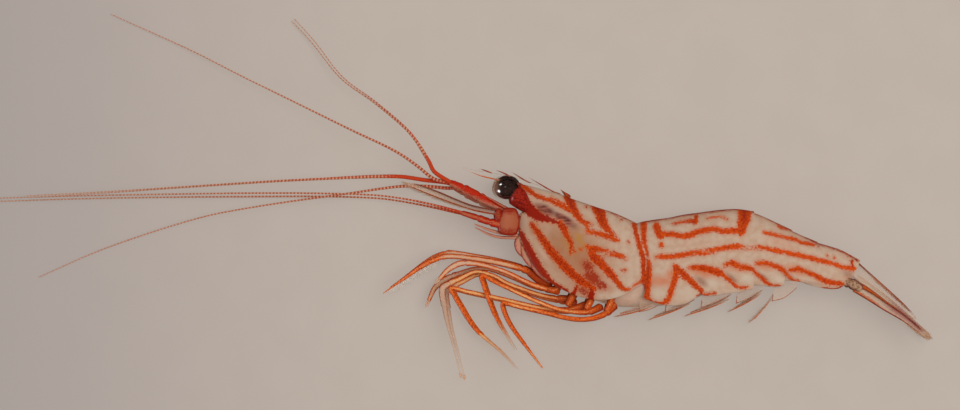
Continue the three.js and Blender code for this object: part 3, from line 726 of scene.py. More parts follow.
# %% Plates
PLATE_THICKNESS = 0.1
PLATE_ACROSS = 84  # faces over the back, from edge to edge
CRISP = 40  # degrees; edges sharper than this stay crisp
SQUARENESS = 0.86  # under 1 makes the section fuller than an ellipse
TUCK = 0.16  # how far the lower edges turn in, as a share of the half width


def saddle(rings, u, v):
    """A point of a plate: u goes over the back from edge to edge, v from front to rear."""
    back_x, back_y, low_x, low_y, half, bow = smooth_through(rings, v).T
    turn = (2 * u - 1) * math.pi
    rise = (1 + np.sign(np.cos(turn)) * np.abs(np.cos(turn)) ** SQUARENESS) / 2
    flank = np.abs(np.sin(turn)) ** SQUARENESS
    flank = np.where(rise < 0.5, 1 - TUCK * (1 - flank), flank)
    x = low_x + (back_x - low_x) * rise + bow * 4 * rise * (1 - rise)
    y = low_y + (back_y - low_y) * rise
    return np.stack([x, y, MID + np.sign(turn) * half * flank], axis=1)


def plate(name, rings, along):
    return laid_grid(name, PLATE_ACROSS, along, lambda u, v: saddle(rings, u, v))


def shelled(piece, node_name):
    """Gives a plate its wall, inwards, its markings and its finish."""
    walled(piece, PLATE_THICKNESS, -1, CRISP)
    paint(piece)
    finished(piece, shell, "shell", node_name)
    print(piece.name, "has", len(piece.data.polygons), "faces")


# [back x, back y, low x, low y, half width, bow], from front to rear.
CARAPACE_RINGS = [
    [-8.2, 8.4, -8.45, 2.0, 1.75, 0.0],
    [-6.2, 7.9, -7.45, 0.0, 2.5, 0.0],
    [-4.0, 7.3, -5.55, -2.6, 3.05, 0.0],
    [-1.8, 6.52, -2.65, -4.35, 3.4, 0.0],
    [0.6, 5.7, 0.35, -5.2, 3.5, 0.0],
    [3.0, 4.9, 3.2, -4.9, 3.5, 0.3],
    [5.3, 3.85, 5.9, -3.5, 3.5, 0.75],
]
ORBIT = (-8.9, 6.35, 2.2)  # middle of the ball that leaves room for an eye: x, y, rise
ORBIT_RADIUS = 1.7


def out_of_orbits(points):
    """Pushes points out of a ball round each eye, which leaves a rounded socket in the front edge."""
    for side in SIDES.values():
        centre = np.array(on_side(side, [ORBIT])[0])
        away = points - centre
        far = np.linalg.norm(away, axis=1)[:, None]
        points = np.where(far < ORBIT_RADIUS, centre + away / far * ORBIT_RADIUS, points)
    return points


carapace = plate("carapace_shell", CARAPACE_RINGS, 96)
set_points(carapace, out_of_orbits(points_of(carapace)))
shelled(carapace, "carapace")

# %% [markdown]
# The six tail plates use the same saddle. Each is given at its visible size, and the helper lengthens it:
# forwards under the plate before, a little narrower, and backwards over the next one, a little wider.

# %% Tail plates
TAIL_RINGS = [
    [[5.7, 3.8, 6.2, -3.6, 3.4, 0.7], [6.5, 4.0, 6.4, -4.8, 3.5, 0.5], [7.4, 4.1, 6.8, -5.3, 3.5, 0.2]],
    [[7.5, 4.15, 6.6, -5.2, 3.48, 0.2], [9.3, 4.4, 8.9, -5.85, 3.52, 0.0],
     [11.0, 4.75, 11.2, -5.6, 3.52, 0.0], [12.7, 5.0, 13.1, -4.2, 3.5, -0.2]],
    [[12.9, 5.0, 13.2, -4.7, 3.46, -0.2], [14.6, 5.25, 14.3, -4.75, 3.5, 0.0],
     [16.3, 5.4, 15.8, -4.5, 3.5, 0.0], [17.6, 5.4, 17.4, -4.3, 3.46, 0.0],
     [19.0, 5.15, 18.9, -3.9, 3.4, -0.1]],
    [[19.2, 5.0, 18.9, -3.45, 3.34, -0.1], [20.6, 4.45, 19.9, -3.5, 3.3, 0.0],
     [22.0, 3.8, 21.1, -3.7, 3.2, 0.0], [23.5, 2.95, 22.4, -3.6, 3.05, 0.0]],
    [[23.8, 2.8, 22.8, -2.95, 2.95, 0.0], [25.2, 2.2, 23.7, -3.0, 2.75, 0.0],
     [26.5, 1.55, 24.8, -3.2, 2.55, 0.0]],
    [[26.7, 1.45, 24.95, -3.2, 2.45, 0.0], [28.2, 1.05, 26.9, -3.8, 2.3, 0.0],
     [29.8, 0.5, 29.0, -3.95, 2.05, 0.0], [31.5, -0.6, 30.3, -3.1, 1.65, 0.0]],
]
LAP_UNDER = 0.45  # how far a plate reaches under the one before
LAP_OVER = 0.28  # and how far over the next
STEP = 0.035  # how far the lapping edge stands proud
HIDDEN_RISE = 0.25  # how much shorter the hidden front edge is at the bottom


def lapped(rings):
    """Adds a narrower ring in front and lets the last ring reach back, a little wider."""
    back_x, back_y, low_x, low_y, half, bow = rings[0]
    under = [back_x - LAP_UNDER, back_y - 2 * STEP, low_x - LAP_UNDER, low_y + HIDDEN_RISE, half - 2 * STEP,
             bow]
    back_x, back_y, low_x, low_y, half, bow = rings[-1]
    over = [back_x + LAP_OVER, back_y + STEP / 2, low_x + LAP_OVER / 2, low_y, half + STEP, bow]
    return [under, *rings[:-1], over]


for number, rings in enumerate(TAIL_RINGS, start=1):
    shelled(plate(f"tail_plate_{number}", lapped(rings), 14 + 10 * len(rings)), f"abdomen_{number}")

# %% [markdown]
# Under the plates the animal is one soft body. It shows between the plates' lower edges, at the neck and
# round the leg bases, so it is one tube from the mouth to the tail fan.

# %% The soft body
BODY_LINE = [(-8.2, 4.6), (-6.5, 3.6), (-4, 2.2), (-1, 0.5), (2, -0.7), (5, -1.4), (8, -1.2), (12, -0.2),
             (16, 0.7), (20, 0.6), (23, 0.0), (26, -0.9), (29, -1.7), (31.1, -2.3)]
BODY_HALF_HEIGHT = [1.5, 2.7, 3.8, 4.6, 4.9, 4.7, 4.9, 4.7, 4.2, 3.6, 2.7, 2.0, 1.8, 0.9]
BODY_HALF_WIDTH = [1.3, 2.2, 2.7, 3.0, 3.05, 3.0, 3.05, 3.1, 3.1, 2.85, 2.5, 2.2, 1.75, 1.2]
# The breast between the legs, which their first joints grow from.
BREAST_LINE = [(-6.8, 0.8), (-5.0, -1.2), (-3.0, -2.7), (-0.6, -3.7), (2.6, -4.3)]

flesh = Finish("flesh", 0.5, coat=0.1, specular=0.2)
# painted light: the soft body is paler than the shell's flesh colour, to make up for the shade it lies in
# under the plates
colour = flesh.mottled(0.9, 0.3, 0.7, srgb(208, 178, 158), srgb(200, 166, 144))
flesh.plug("Base Color", tinted(flesh, colour, "rust", srgb(170, 84, 52), 0.8))
flesh.even("Subsurface Weight", 0.2)
flesh.even("Subsurface Scale", 0.5 * MM)

flatness = [wide / high for wide, high in zip(BODY_HALF_WIDTH, BODY_HALF_HEIGHT)]
body = tube("body_flesh", on_middle(BODY_LINE), BODY_HALF_HEIGHT, sides=48, tall=flatness)
breast = tube("breast", on_middle(BREAST_LINE), [0.9, 1.2, 1.3, 1.25, 0.9], sides=28, tall=1.4)
body = joined("body_flesh", [body, breast])
paint(body)
finished(body, flesh, "shell")
print("the soft body has", len(body.data.polygons), "faces")

# %% [markdown]
# ## Clear plates
# The rostrum, the tail fan, the antennal scales and the swimmerets are thin clear plates with coloured
# rims. A plate is laid through a few curves that run its long way, and Solidify gives it a wall. Every
# plate carries how strong the orange ink, the dark ink and the violet tint are, and how solid its body
# looks. One finish reads them all.

# %% Clear plates
def through_curves(name, curves, along, across, thickness):
    """A plate through curves that run its long way, given from one rim to the other. It comes with the
    shares along and across it of its points."""

    def place(u, v):
        return smooth_through([smooth_through(curve, v) for curve in curves], u)

    leaf = laid_grid(name, across, along, place)
    walled(leaf, thickness, 0, 50)
    return leaf, read(leaf, "share"), read(leaf, "round")


def either(*patterns):
    """The strongest of several patterns at each point."""
    return np.maximum.reduce(patterns)


glassy = Finish("clear_plate", 0.25, coat=0.3, specular=0.3)
colour = glassy.blended(glassy.carried("violet"), srgb(220, 194, 170), srgb(176, 104, 96))
ink = glassy.speckled(glassy.carried("ink"))
dark = glassy.plus(glassy.carried("dark"), glassy.between(glassy.grain(0.16), 0.4, 0.7, 0.0, 0.5))
inked = glassy.blended(dark, srgb(208, 98, 34), srgb(118, 34, 16))
glassy.plug("Base Color", glassy.blended(ink, colour, inked))
glassy.plug("Alpha", glassy.larger(glassy.carried("body"), ink))
print("the clear plates' finish has", len(glassy.material.node_tree.nodes), "nodes")

# %% [markdown]
# ## Rostrum
# The rostrum is a blade between the eyes that runs on as a crest along the carapace. Its upper edge bears
# forward-pointing spines. The blade is one clear plate with an orange lower rim, and each spine is a thin
# cone, sunk into the blade and joined to it.

# %% Rostrum
ROSTRUM_LOWER = [(-15.1, 10.27), (-13.0, 9.32), (-11.4, 8.9), (-9.8, 8.55), (-8.2, 8.25), (-6.2, 7.5),
                 (-4.2, 6.8), (-2.2, 6.2)]
ROSTRUM_UPPER = [(-15.1, 10.33), (-13.2, 9.95), (-11.5, 9.68), (-9.8, 9.4), (-8.2, 9.0), (-6.2, 8.25),
                 (-4.2, 7.42), (-2.2, 6.8)]
SPINES = [
    [(-13.1, 10.2), (-12.2, 9.9), (-11.6, 9.66)],
    [(-11.1, 10.0), (-10.1, 9.62), (-9.4, 9.25)],
    [(-9.3, 9.82), (-8.5, 9.3), (-7.6, 8.75), (-7.0, 8.5)],
    [(-7.25, 9.15), (-5.9, 8.35), (-4.4, 7.5), (-3.5, 7.2)],
    [(-3.5, 7.72), (-3.0, 7.25), (-2.4, 6.7)],
]
SPINE_RADII = [0.025, 0.06, 0.08, 0.06]
REAR_SPINE_RADII = [0.03, 0.12, 0.26, 0.3]  # the last spine is a stout tooth on the carapace

rims = [on_middle(ROSTRUM_LOWER), on_middle(ROSTRUM_UPPER)]
blade, along, up = through_curves("rostrum_blade", rims, 80, 12, 0.22)
lower_rim = near(up, [0], 0.34) * np.interp(along, [0, 0.08, 0.16, 0.3, 0.42], [0.5, 0.7, 1.3, 1.2, 0.3])
beside_eyes = np.interp(along, [0.2, 0.28, 0.5, 0.58], [1, 0.2, 0.2, 1])
carry(blade, ink=either(lower_rim, near(up, [1], 0.1) * 0.6), dark=near(up, [1], 0.15), violet=0.1,
      body=(0.03 + 0.12 * near(up, [0, 1], 0.2)) * beside_eyes)

parts = [blade]
for number, route in enumerate(SPINES, start=1):
    radii = REAR_SPINE_RADII if number == len(SPINES) else SPINE_RADII
    spine = tube("spine", on_middle(route), radii, sides=8, pitch=0.12)
    tinge(spine, ink=[(0, 0.4), (0.5, 0.8), (1, 1)], dark=[(0, 0.7), (1, 0.4)], violet=0,
          body=[(0, 0.5), (1, 0.8)])
    parts.append(spine)
finished(joined("rostrum_blade", parts), glassy, "clear_plate", "rostrum")
print("the rostrum has", len(SPINES), "spines")

# %% [markdown]
# ## Tail fan
# The telson is a long roof-shaped plate with a dark ridge, small spines on its back and two at its tip. The
# four uropods are folded shut under it. Each is a leaf that leans outwards, so from the side its upper rib
# and its lower rim show, with the clear leaf between them.

# %% Telson
TELSON_RIDGE = [(31.3, -0.6), (32.5, -1.7), (33.9, -2.95), (35.4, -4.3), (37.0, -5.8), (38.4, -7.3)]
TELSON_DROPS = [1.7, 1.65, 1.45, 1.25, 0.95, 0.3]  # from the ridge down to the lower rim
TELSON_WIDTHS = [1.35, 1.2, 1.05, 0.85, 0.62, 0.22]
TELSON_DOWN = np.array([-0.69, -0.72, 0])
TAIL_WAY = np.array([0.7, -0.72, 0])  # the way in which the tail fan points
SMALL_SPINE_LENGTH = 0.45


def roof_curve(side, depth, width):
    """A curve along the telson's roof, at shares of its depth and of its half width."""
    down = np.array(TELSON_DROPS)[:, None] * depth * TELSON_DOWN
    return on_middle(TELSON_RIDGE) + down + [[0, 0, side * wide * width] for wide in TELSON_WIDTHS]


def small_spine(start, way, radius):
    """A short stiff spine from a point, the given way."""
    way = np.array(way, float) / np.linalg.norm(way)
    route = [np.array(start) + way * SMALL_SPINE_LENGTH * share for share in (0, 0.5, 1)]
    spine = tube("spine", route, [radius, radius * 0.6, 0.015], sides=6, pitch=0.1)
    tinge(spine, ink=[(0, 0.5), (1, 0.2)], dark=[(0, 0.5), (1, 0)], violet=[(0, 0.3), (1, 0)], body=0.9)
    return spine


curves = [roof_curve(1, 1.0, 1.0), roof_curve(1, 0.35, 0.72), on_middle(TELSON_RIDGE),
          roof_curve(-1, 0.35, 0.72), roof_curve(-1, 1.0, 1.0)]
roof, along, up = through_curves("telson_plate", curves, 70, 28, 0.12)
ridge_line = near(up, [0.5], 0.12) * np.interp(along, [0, 0.3, 0.9, 1], [1.8, 1.7, 1.4, 0.4])
brush = near(up, [0.4, 0.6], 0.22) * np.interp(along, [0.2, 0.4, 0.7, 0.9, 0.98], [0.2, 0.6, 0.65, 0.6, 0])
carry(roof, ink=either(ridge_line, brush, near(up, [0, 1], 0.05) * 0.4),
      dark=either(near(up, [0.5], 0.08), np.interp(along, [0.4, 0.8], [0.1, 0.6])),
      violet=np.interp(along, [0, 0.5, 0.8, 1], [0.05, 0.1, 0.45, 0.2]),
      body=0.14 + 0.3 * near(up, [0, 0.5, 1], 0.08))

parts = [roof]
for share in (0.55, 0.78):
    x, y, _ = smooth_through(on_middle(TELSON_RIDGE), [share])[0]
    for side in SIDES.values():
        parts.append(small_spine((x - 0.15, y - 0.2, MID + side * 0.35), TAIL_WAY + [0.1, 0.1, 0], 0.07))
for side in SIDES.values():
    parts.append(small_spine((38.25, -7.3, MID + side * 0.1), TAIL_WAY + [0, 0, side * 0.1], 0.05))
finished(joined("telson_plate", parts), glassy, "clear_plate", "telson")
print("the telson has", len(parts) - 1, "spines")

# %% Uropods
# Upper rim and lower rim of each leaf, as (x, y, rise) on the side view.
UROPODS = {
    "inner": (
        [(31.6, -2.3, 0.3), (33.5, -3.7, 0.45), (35.4, -5.2, 0.55), (37.4, -6.95, 0.7), (39.0, -8.4, 0.9),
         (39.9, -9.35, 1.1)],
        [(31.3, -3.3, 1.0), (33.2, -4.9, 1.5), (35.2, -6.3, 1.8), (37.2, -7.75, 1.8), (38.8, -8.95, 1.6),
         (39.85, -9.55, 1.25)],
    ),
    "outer": (
        [(31.0, -2.9, 1.1), (32.6, -3.75, 1.35), (34.6, -5.2, 1.5), (36.6, -6.65, 1.6), (38.4, -8.15, 1.7),
         (39.55, -9.3, 1.9)],
        [(31.0, -4.3, 1.7), (32.7, -5.3, 2.4), (34.7, -6.55, 2.75), (36.8, -7.75, 2.75), (38.4, -8.9, 2.5),
         (39.45, -9.6, 2.1)],
    ),
}
KNUCKLE = [(29.5, -2.9, 1.0), (30.7, -3.3, 1.4), (32.1, -4.1, 1.7)]  # the joint that bears the two leaves

knuckle_skin = Finish("knuckle", 0.5, coat=0.1, specular=0.2)
edge = knuckle_skin.between(knuckle_skin.calc("ABSOLUTE", knuckle_skin.carried("top")), 0.5, 0.95)
colour = knuckle_skin.mottled(0.25, 0.35, 0.65, srgb(126, 82, 56), srgb(174, 142, 116))
knuckle_skin.plug("Base Color", knuckle_skin.blended(edge, colour, srgb(104, 48, 28)))


def uropod(kind, side_name):
    side = SIDES[side_name]
    upper, lower = (np.array(on_side(side, rim, nearer=True)) for rim in UROPODS[kind])
    bulge = np.sin(np.linspace(0, math.pi, len(upper)))[:, None] * [0.12, 0.12, side * 0.35]
    curves = [upper, (upper + lower) / 2 + bulge, lower]
    leaf, along, up = through_curves(f"uropod_{kind}_{side_name}_leaf", curves, 70, 18, 0.12)
    rib = near(up, [0.15], 0.42) * np.interp(along, [0, 0.5, 0.8, 1], [1.9, 1.7, 1.2, 0.4])
    rim = near(up, [1], 0.14) * np.interp(along, [0, 0.7, 1], [1.4, 1.2, 0.4])
    wash = near(up, [0.85], 0.3) * np.interp(along, [0, 0.3, 0.55], [0.7, 0.6, 0])
    tip = np.interp(along, [0.86, 0.97], [0, 0.42])
    carry(leaf, ink=either(rib, rim, wash, tip) if kind == "outer" else either(rim * 0.5, tip),
          dark=either(near(up, [0, 0.4, 1], 0.13), np.interp(along, [0.3, 0.8, 0.9], [0.1, 0.6, 0.1])),
          violet=near(up, [0.5], 0.6) * np.interp(along, [0.35, 0.5, 0.85, 0.95], [0.1, 1, 1, 0.2]),
          body=0.42 + 0.35 * near(up, [0, 1], 0.12))
    return leaf


for side_name, side in SIDES.items():
    for kind in UROPODS:
        finished(uropod(kind, side_name), glassy, "clear_plate", f"uropod_{kind}_{side_name}")
    knuckle = tube(f"uropod_knuckle_{side_name}", on_side(side, KNUCKLE, nearer=True), [0.4, 0.66, 0.42],
                   sides=20, pitch=0.15, joints=(0.45,))
    finished(knuckle, knuckle_skin, "shell")
print("the tail fan has a telson and", 2 * len(UROPODS), "uropods")

# %% [markdown]
# ## Eyes
# Each eye is a dark globe under a clear domed cornea that stands a little proud in front. It sits on a
# stout red stalk. The globe's finish has a fine facet pattern, because it is a compound eye, and a sharp
# wet coat for the sparkle.

# %% Eyes
EYES = {"left": (-10.0, 7.8, 2.05), "right": (-9.85, 8.2, 2.05)}
CORNEA_HALVES = (1.6, 1.3, 1.25)  # half sizes: along, up and across
GLOBE_HALVES = (1.47, 1.22, 1.18)
GLOBE_SET_BACK = 0.12
EYE_TILT = 0.05  # radians
EYE_FACET = 0.055


def globe(name, centre, halves, set_back=0.0):
    """An egg shape whose long axis rises forwards."""
    cos, sin = math.cos(EYE_TILT), math.sin(EYE_TILT)
    axes = np.array([[cos, -sin, 0], [sin, cos, 0], [0, 0, 1]])

    def place(u, v):
        forward, out, turn = -np.cos(math.pi * v), np.sin(math.pi * v), 2 * math.pi * u
        local = np.stack([forward, out * np.cos(turn), out * np.sin(turn)], axis=1) * halves
        return (local + [set_back, 0, 0]) @ axes + centre

    return laid_grid(name, 48, 32, place)


eye = Finish("eye_globe", 0.3, coat=1.0, specular=0.2)
eye.even("Coat Roughness", 0.02)
eye.even("Coat IOR", 2.0)
colour = eye.mottled(0.8, 0.35, 0.75, srgb(14, 6, 7), srgb(46, 28, 26))
front_rim = eye.between(eye.carried("share"), 0.1, 0.42, 1.0, 0.0)
eye.plug("Base Color", eye.blended(front_rim, colour, srgb(96, 52, 36)))
eye.bumped(eye.cells(EYE_FACET), 0.0008)

cornea = Finish("cornea", 0.2, specular=0.2)
cornea.even("Base Color", srgb(186, 150, 128))
cornea.plug("Alpha", cornea.between(cornea.carried("share"), 0.1, 0.4, 0.5, 0.02))

stem_skin = Finish("eyestalk", 0.45, coat=0.2, specular=0.2)
stem_skin.plug("Base Color", stem_skin.mottled(0.2, 0.35, 0.6, srgb(104, 10, 4), srgb(158, 34, 16)))

for side_name, (x, y, rise) in EYES.items():
    side = SIDES[side_name]
    centre = np.array([x, y, MID + side * rise])
    dark_globe = globe(f"eye_globe_{side_name}", centre, GLOBE_HALVES, GLOBE_SET_BACK)
    finished(dark_globe, eye, "eye", f"eye_{side_name}")
    finished(globe(f"cornea_{side_name}", centre, CORNEA_HALVES), cornea, "eye")
    route = [centre + (0.45, -0.45, -0.1 * side), centre + (1.2, -0.8, -0.2 * side),
             centre + (2.1, -1.75, -0.5 * side), (-6.9, 5.2, MID + side * 1.0)]
    stalk = tube(f"eyestalk_{side_name}_stem", route, [1.2, 1.16, 0.86, 0.6], sides=28, pitch=0.15)
    finished(stalk, stem_skin, "eyestalk", f"eyestalk_{side_name}")
print("two eyes on their stalks")

# %% [markdown]
# ## Limb finishes
# Legs and stalks share one skin: a tan or grey-pink ground, red speckles that grow together into solid red,
# and a dark line along the upper and the lower edge. Towards those edges the red speckles also grow denser,
# and the middle stays lighter. The edge line and this are partly the limb's own markings and partly painted
# light and shade: the lighter middle and darker edges that light passing through a translucent limb gives.
# Where each shows is stored along the limb.

# %% Limb skin
WRIST_PITCH = 0.22  # length of one ring of the second legs' wrists
DEEP_RED = srgb(146, 28, 4)
LINE_RED = srgb(150, 34, 10)


def limb_skin(name, ground, pale, red):
    skin = Finish(name, 0.5, coat=0.08, specular=0.15)
    reach, top, lines = (skin.carried(pattern) for pattern in ("reach", "top", "lines"))
    edge = skin.calc("ABSOLUTE", top)
    lengthwise = skin.node("CombineXYZ", {"X": skin.times(reach, 0.5), "Y": skin.times(top, 2.2)})
    streak = skin.node("TexNoise", {"Vector": lengthwise.outputs["Vector"], "Scale": 2.0}).outputs["Fac"]
    amount = skin.plus(skin.carried("red"), skin.times(skin.minus(streak, 0.5), 0.6))
    # partly painted light and shade: fewer red speckles in the middle of the limb and more towards its
    # upper and lower edges
    amount = skin.plus(amount, skin.times(lines, skin.between(edge, 0.1, 0.9, -0.2, 0.4)))
    deep = skin.larger(skin.between(skin.grain(0.12), 0.45, 0.65), skin.carried("deep"))
    colour = skin.blended(skin.carried("pale"), ground, pale)
    colour = skin.blended(skin.speckled(amount, 0.1), colour, skin.blended(deep, red, DEEP_RED))
    # the dark line at the upper and lower edges: partly the limb's own line, partly painted shade
    line = skin.times(skin.between(edge, 0.75, 0.98), lines)
    skin.plug("Base Color", skin.blended(line, colour, LINE_RED))
    skin.plug("Alpha", skin.minus(1.0, skin.carried("clear")))
    wrist = skin.calc("SINE", skin.times(reach, 2 * math.pi / WRIST_PITCH))
    skin.bumped(skin.plus(skin.grain(0.12), skin.times(wrist, skin.carried("rings"))), 0.008)
    return skin


leg_skin = limb_skin("leg", srgb(232, 172, 108), srgb(202, 166, 140), srgb(226, 104, 34))
base_skin = limb_skin("antenna_joint", srgb(156, 76, 46), srgb(184, 112, 82), srgb(146, 32, 12))
stalk_skin = limb_skin("head_stalk", srgb(178, 104, 70), srgb(198, 150, 126), srgb(190, 38, 6))
print("a limb's finish has", len(leg_skin.material.node_tree.nodes), "nodes")

# %% [markdown]
# Feelers are chains of hundreds of tiny rings, red and pale in turn. The rings follow the length, so they
# are laid by each point's distance from the root.

# %% Feeler finish
RING_PITCH = 0.42

ringed = Finish("feeler", 0.5, specular=0.2)
wave = ringed.calc("SINE", ringed.times(ringed.carried("reach"), 2 * math.pi / RING_PITCH))
colour = ringed.blended(ringed.between(wave, -0.3, 0.5), srgb(164, 66, 34), srgb(208, 156, 126))
colour = ringed.blended(ringed.carried("pale"), colour, srgb(196, 160, 138))
colour = ringed.blended(ringed.speckled(ringed.carried("red")), colour, srgb(190, 58, 18))
ringed.plug("Base Color", colour)
ringed.bumped(wave, 0.01)

# %% [markdown]
# ## Antennules
# An antennule has a stalk of three joints, with a scale-like spine at its side, and two feelers. The outer
# feeler starts thick and red, and splits into two thin strands.

# %% Antennule parts
ANTENNULE_STALKS = {
    "left": [(-8.9, 4.9, 0.95), (-10.6, 5.5, 0.9), (-13.2, 6.9, 0.85), (-15.0, 7.85, 0.85),
             (-16.6, 8.6, 0.85)],
    "right": [(-8.9, 4.8, 0.95), (-10.6, 5.2, 0.9), (-13, 6.5, 0.85), (-16.2, 8.1, 0.85)],
}
SIDE_SPINE = [(-9.0, 5.0, 1.1), (-11.0, 6.15, 1.3), (-13.0, 7.3, 1.2)]
JOINT_SPINES = [(-13.7, 7.5, 1.0), (-15.7, 8.4, 1.0), (-14.6, 7.2, 1.2)]  # short dark spines at the joints
STALK_AXIS = 7  # the joint spines above this height point up, the others down


def feeler(name, route, radii, red, pale=((0, 0), (0.3, 0.12), (1, 0.7))):
    piece = tube(name, route, radii, sides=8, pitch=0.16)
    tinge(piece, red=red, pale=pale)
    return piece


def strand_beside(route, start, drift):
    """A second strand that leaves a route at a share of its length and drifts off sideways."""
    route, _ = even_route(route, 40)
    tail = route[round(start * 40):]
    return tail + np.linspace(0, 1, len(tail))[:, None] ** 0.7 * np.array(drift)


def antennule_stalk(side_name):
    """The stalk with its side spine and the short spines at its joints."""
    side, name = SIDES[side_name], f"antennule_stalk_{side_name}"
    stalk = tube(name, on_side(side, ANTENNULE_STALKS[side_name]), [0.3, 0.36, 0.54, 0.52, 0.34],
                 sides=20, pitch=0.12, joints=(0.55, 0.8))
    tinge(stalk, red=[(0, 0.4), (0.3, 0.6), (0.5, 0.75), (0.8, 0.8), (1, 0.7)],
          lines=[(0, 0.9), (0.5, 0.2), (1, 0.2)], pale=[(0, 0.6), (0.5, 0.6), (1, 0.3)])
    carry(stalk, red=read(stalk, "red") + 0.55 * read(stalk, "top"))
    side_spine = tube("side_spine", on_side(side, SIDE_SPINE), [0.2, 0.15, 0.03], sides=8, pitch=0.15)
    tinge(side_spine, red=[(0, 0.4), (1, 0.6)], lines=1, pale=[(0, 0.4), (1, 0.2)])
    spines = [side_spine]
    for x, y, rise in JOINT_SPINES:
        root = np.array([x, y, MID + side * rise])
        way = np.array([-0.5, 0.86 if y > STALK_AXIS else -0.86, 0.1 * side])
        route = [root + way * step for step in (0, 0.2, 0.45)]
        spike = tube("spike", route, [0.09, 0.06, 0.02], sides=6, pitch=0.1)
        tinge(spike, red=1.3, lines=1, pale=0)
        spines.append(spike)
    return joined(name, [stalk, *spines])


# %% Antennules
for side_name, side in SIDES.items():
    finished(antennule_stalk(side_name), stalk_skin, "feeler", f"antennule_root_{side_name}")
    end = np.array(on_side(side, ANTENNULE_STALKS[side_name])[-1]) + [0.3, -0.15, 0]
    outer = np.vstack([[end], spine_of(f"antennule_outer_{side_name}", (-17, 9, MID + 0.5 * side))])
    strands = [
        feeler("thick_strand", outer, [0.26, 0.22, 0.13, 0.09, 0.07, 0.06, 0.05],
               [(0, 0.9), (0.12, 0.9), (0.18, 0.4), (0.5, 0.3), (1, 0.2)]),
        feeler("thin_strand", strand_beside(outer, 0.15, (0.35, 0.2, 0.3)), [0.1, 0.08, 0.06, 0.05],
               [(0, 0.7), (0.2, 0.4), (1, 0.1)]),
    ]
    strands = joined(f"antennule_outer_{side_name}_strands", strands)
    finished(strands, ringed, "feeler", f"antennule_outer_{side_name}")
    inner = np.vstack([[end], spine_of(f"antennule_inner_{side_name}", (-17, 8.5, MID))])
    inner = feeler(f"antennule_inner_{side_name}_strand", inner, [0.22, 0.14, 0.1, 0.08, 0.07, 0.05],
                   [(0, 0.6), (0.06, 0.35), (1, 0.3)])
    finished(inner, ringed, "feeler", f"antennule_inner_{side_name}")
print("two antennules with their feelers")

# %% [markdown]
# ## Antennae
# The antenna's first joint is a broad rounded box beside the mouth. It carries the antennal scale, a long
# clear leaf with a stiff outer rim, and slim joints that end in the longest feeler.

# %% Antennae
ANTENNA_BASE = [(-8.4, 3.95, 1.7), (-9.2, 3.95, 2.05), (-10.1, 4.0, 2.15), (-10.9, 4.15, 2.0)]
ANTENNA_STEM = [(-10.4, 3.55, 2.1), (-12.0, 3.95, 2.1), (-13.6, 4.5, 2.05), (-15.2, 5.0, 2.0)]
COLLAR = [(-10.7, 5.5, 2.0), (-10.9, 4.7, 2.2), (-10.7, 3.9, 2.2)]
SCALE_UPPER = [(-10.6, 5.25, 1.7), (-12.3, 5.5, 1.5), (-14.2, 5.95, 1.4), (-16.0, 6.65, 1.4),
               (-18.0, 7.5, 1.4), (-20.1, 8.25, 1.6), (-21.6, 8.5, 1.9)]
SCALE_LOWER = [(-10.6, 4.7, 2.6), (-12.3, 4.95, 3.0), (-13.9, 5.3, 3.1), (-15.5, 5.8, 3.1),
               (-17.2, 6.4, 3.0), (-19.2, 7.2, 2.8), (-21.4, 8.15, 2.4)]


def antennal_scale(side_name):
    side = SIDES[side_name]
    upper, lower = (np.array(on_side(side, rim)) for rim in (SCALE_UPPER, SCALE_LOWER))
    curves = [upper, (upper + lower) / 2 + [0, 0, side * 0.15], lower]
    leaf, along, up = through_curves(f"antennal_scale_{side_name}_leaf", curves, 80, 18, 0.12)
    stiff_rim = near(up, [0.04], 0.2) * np.interp(along, [0, 0.8, 1], [1.5, 1.1, 0.2])
    carry(leaf, ink=stiff_rim + near(up, [0.96], 0.16) * 1.1, dark=0.55, violet=0.5 * (1 - along),
          body=0.3 + 0.3 * near(up, [0, 1], 0.15))
    return leaf


for side_name, side in SIDES.items():
    base = tube("base", on_side(side, ANTENNA_BASE), [1.45, 1.62, 1.6, 1.3], sides=28, pitch=0.12,
                tall=[0.45, 0.42, 0.38, 0.36], tips=(0.4, 0.45))
    tinge(base, red=[(0, 1.0), (0.12, 0.8), (0.25, 0.3), (0.75, 0.3), (0.9, 0.85), (1, 1.0)],
          lines=0.8, pale=[(0, 0), (0.3, 0.2), (0.6, 0.5), (1, 0)])
    collar = tube("collar", on_side(side, COLLAR), [0.3, 0.5, 0.4], sides=18, pitch=0.12)
    tinge(collar, red=[(0, 0.9), (0.5, 0.6), (1, 0.9)], lines=1, pale=0)
    stem = tube(f"antenna_stem_{side_name}", on_side(side, ANTENNA_STEM), [0.5, 0.42, 0.36, 0.28],
                sides=14, pitch=0.12, joints=(0.3, 0.6))
    tinge(stem, red=[(0, 0.6), (0.2, 0.65), (1, 0.5)], lines=0.8, pale=0)
    base = joined(f"antenna_base_{side_name}", [base, collar])
    finished(base, base_skin, "feeler", f"antenna_root_{side_name}")
    finished(stem, stalk_skin, "feeler")
    finished(antennal_scale(side_name), glassy, "clear_plate", f"antennal_scale_{side_name}")

    stem_end = np.array(on_side(side, ANTENNA_STEM)[-1]) + [0.4, -0.15, 0]
    route = np.vstack([[stem_end], spine_of(f"antenna_{side_name}", (-10, 5, MID + 2 * side))])
    whip = feeler(f"antenna_{side_name}_whip", route, [0.16, 0.1, 0.1, 0.1, 0.09, 0.08, 0.07, 0.06],
                  [(0, 0.7), (0.06, 0.5), (0.2, 0.35), (1, 0.2)], [(0, 0), (0.4, 0.15), (1, 0.65)])
    finished(whip, ringed, "feeler", f"antenna_{side_name}")
print("two antennae with their scales")

# %% [markdown]
# ## Mouthparts
# In front of the carapace's edge the jaws are covered by a few small leaf-like limbs, and a pair of pink
# feeler-like branches points forward from them.

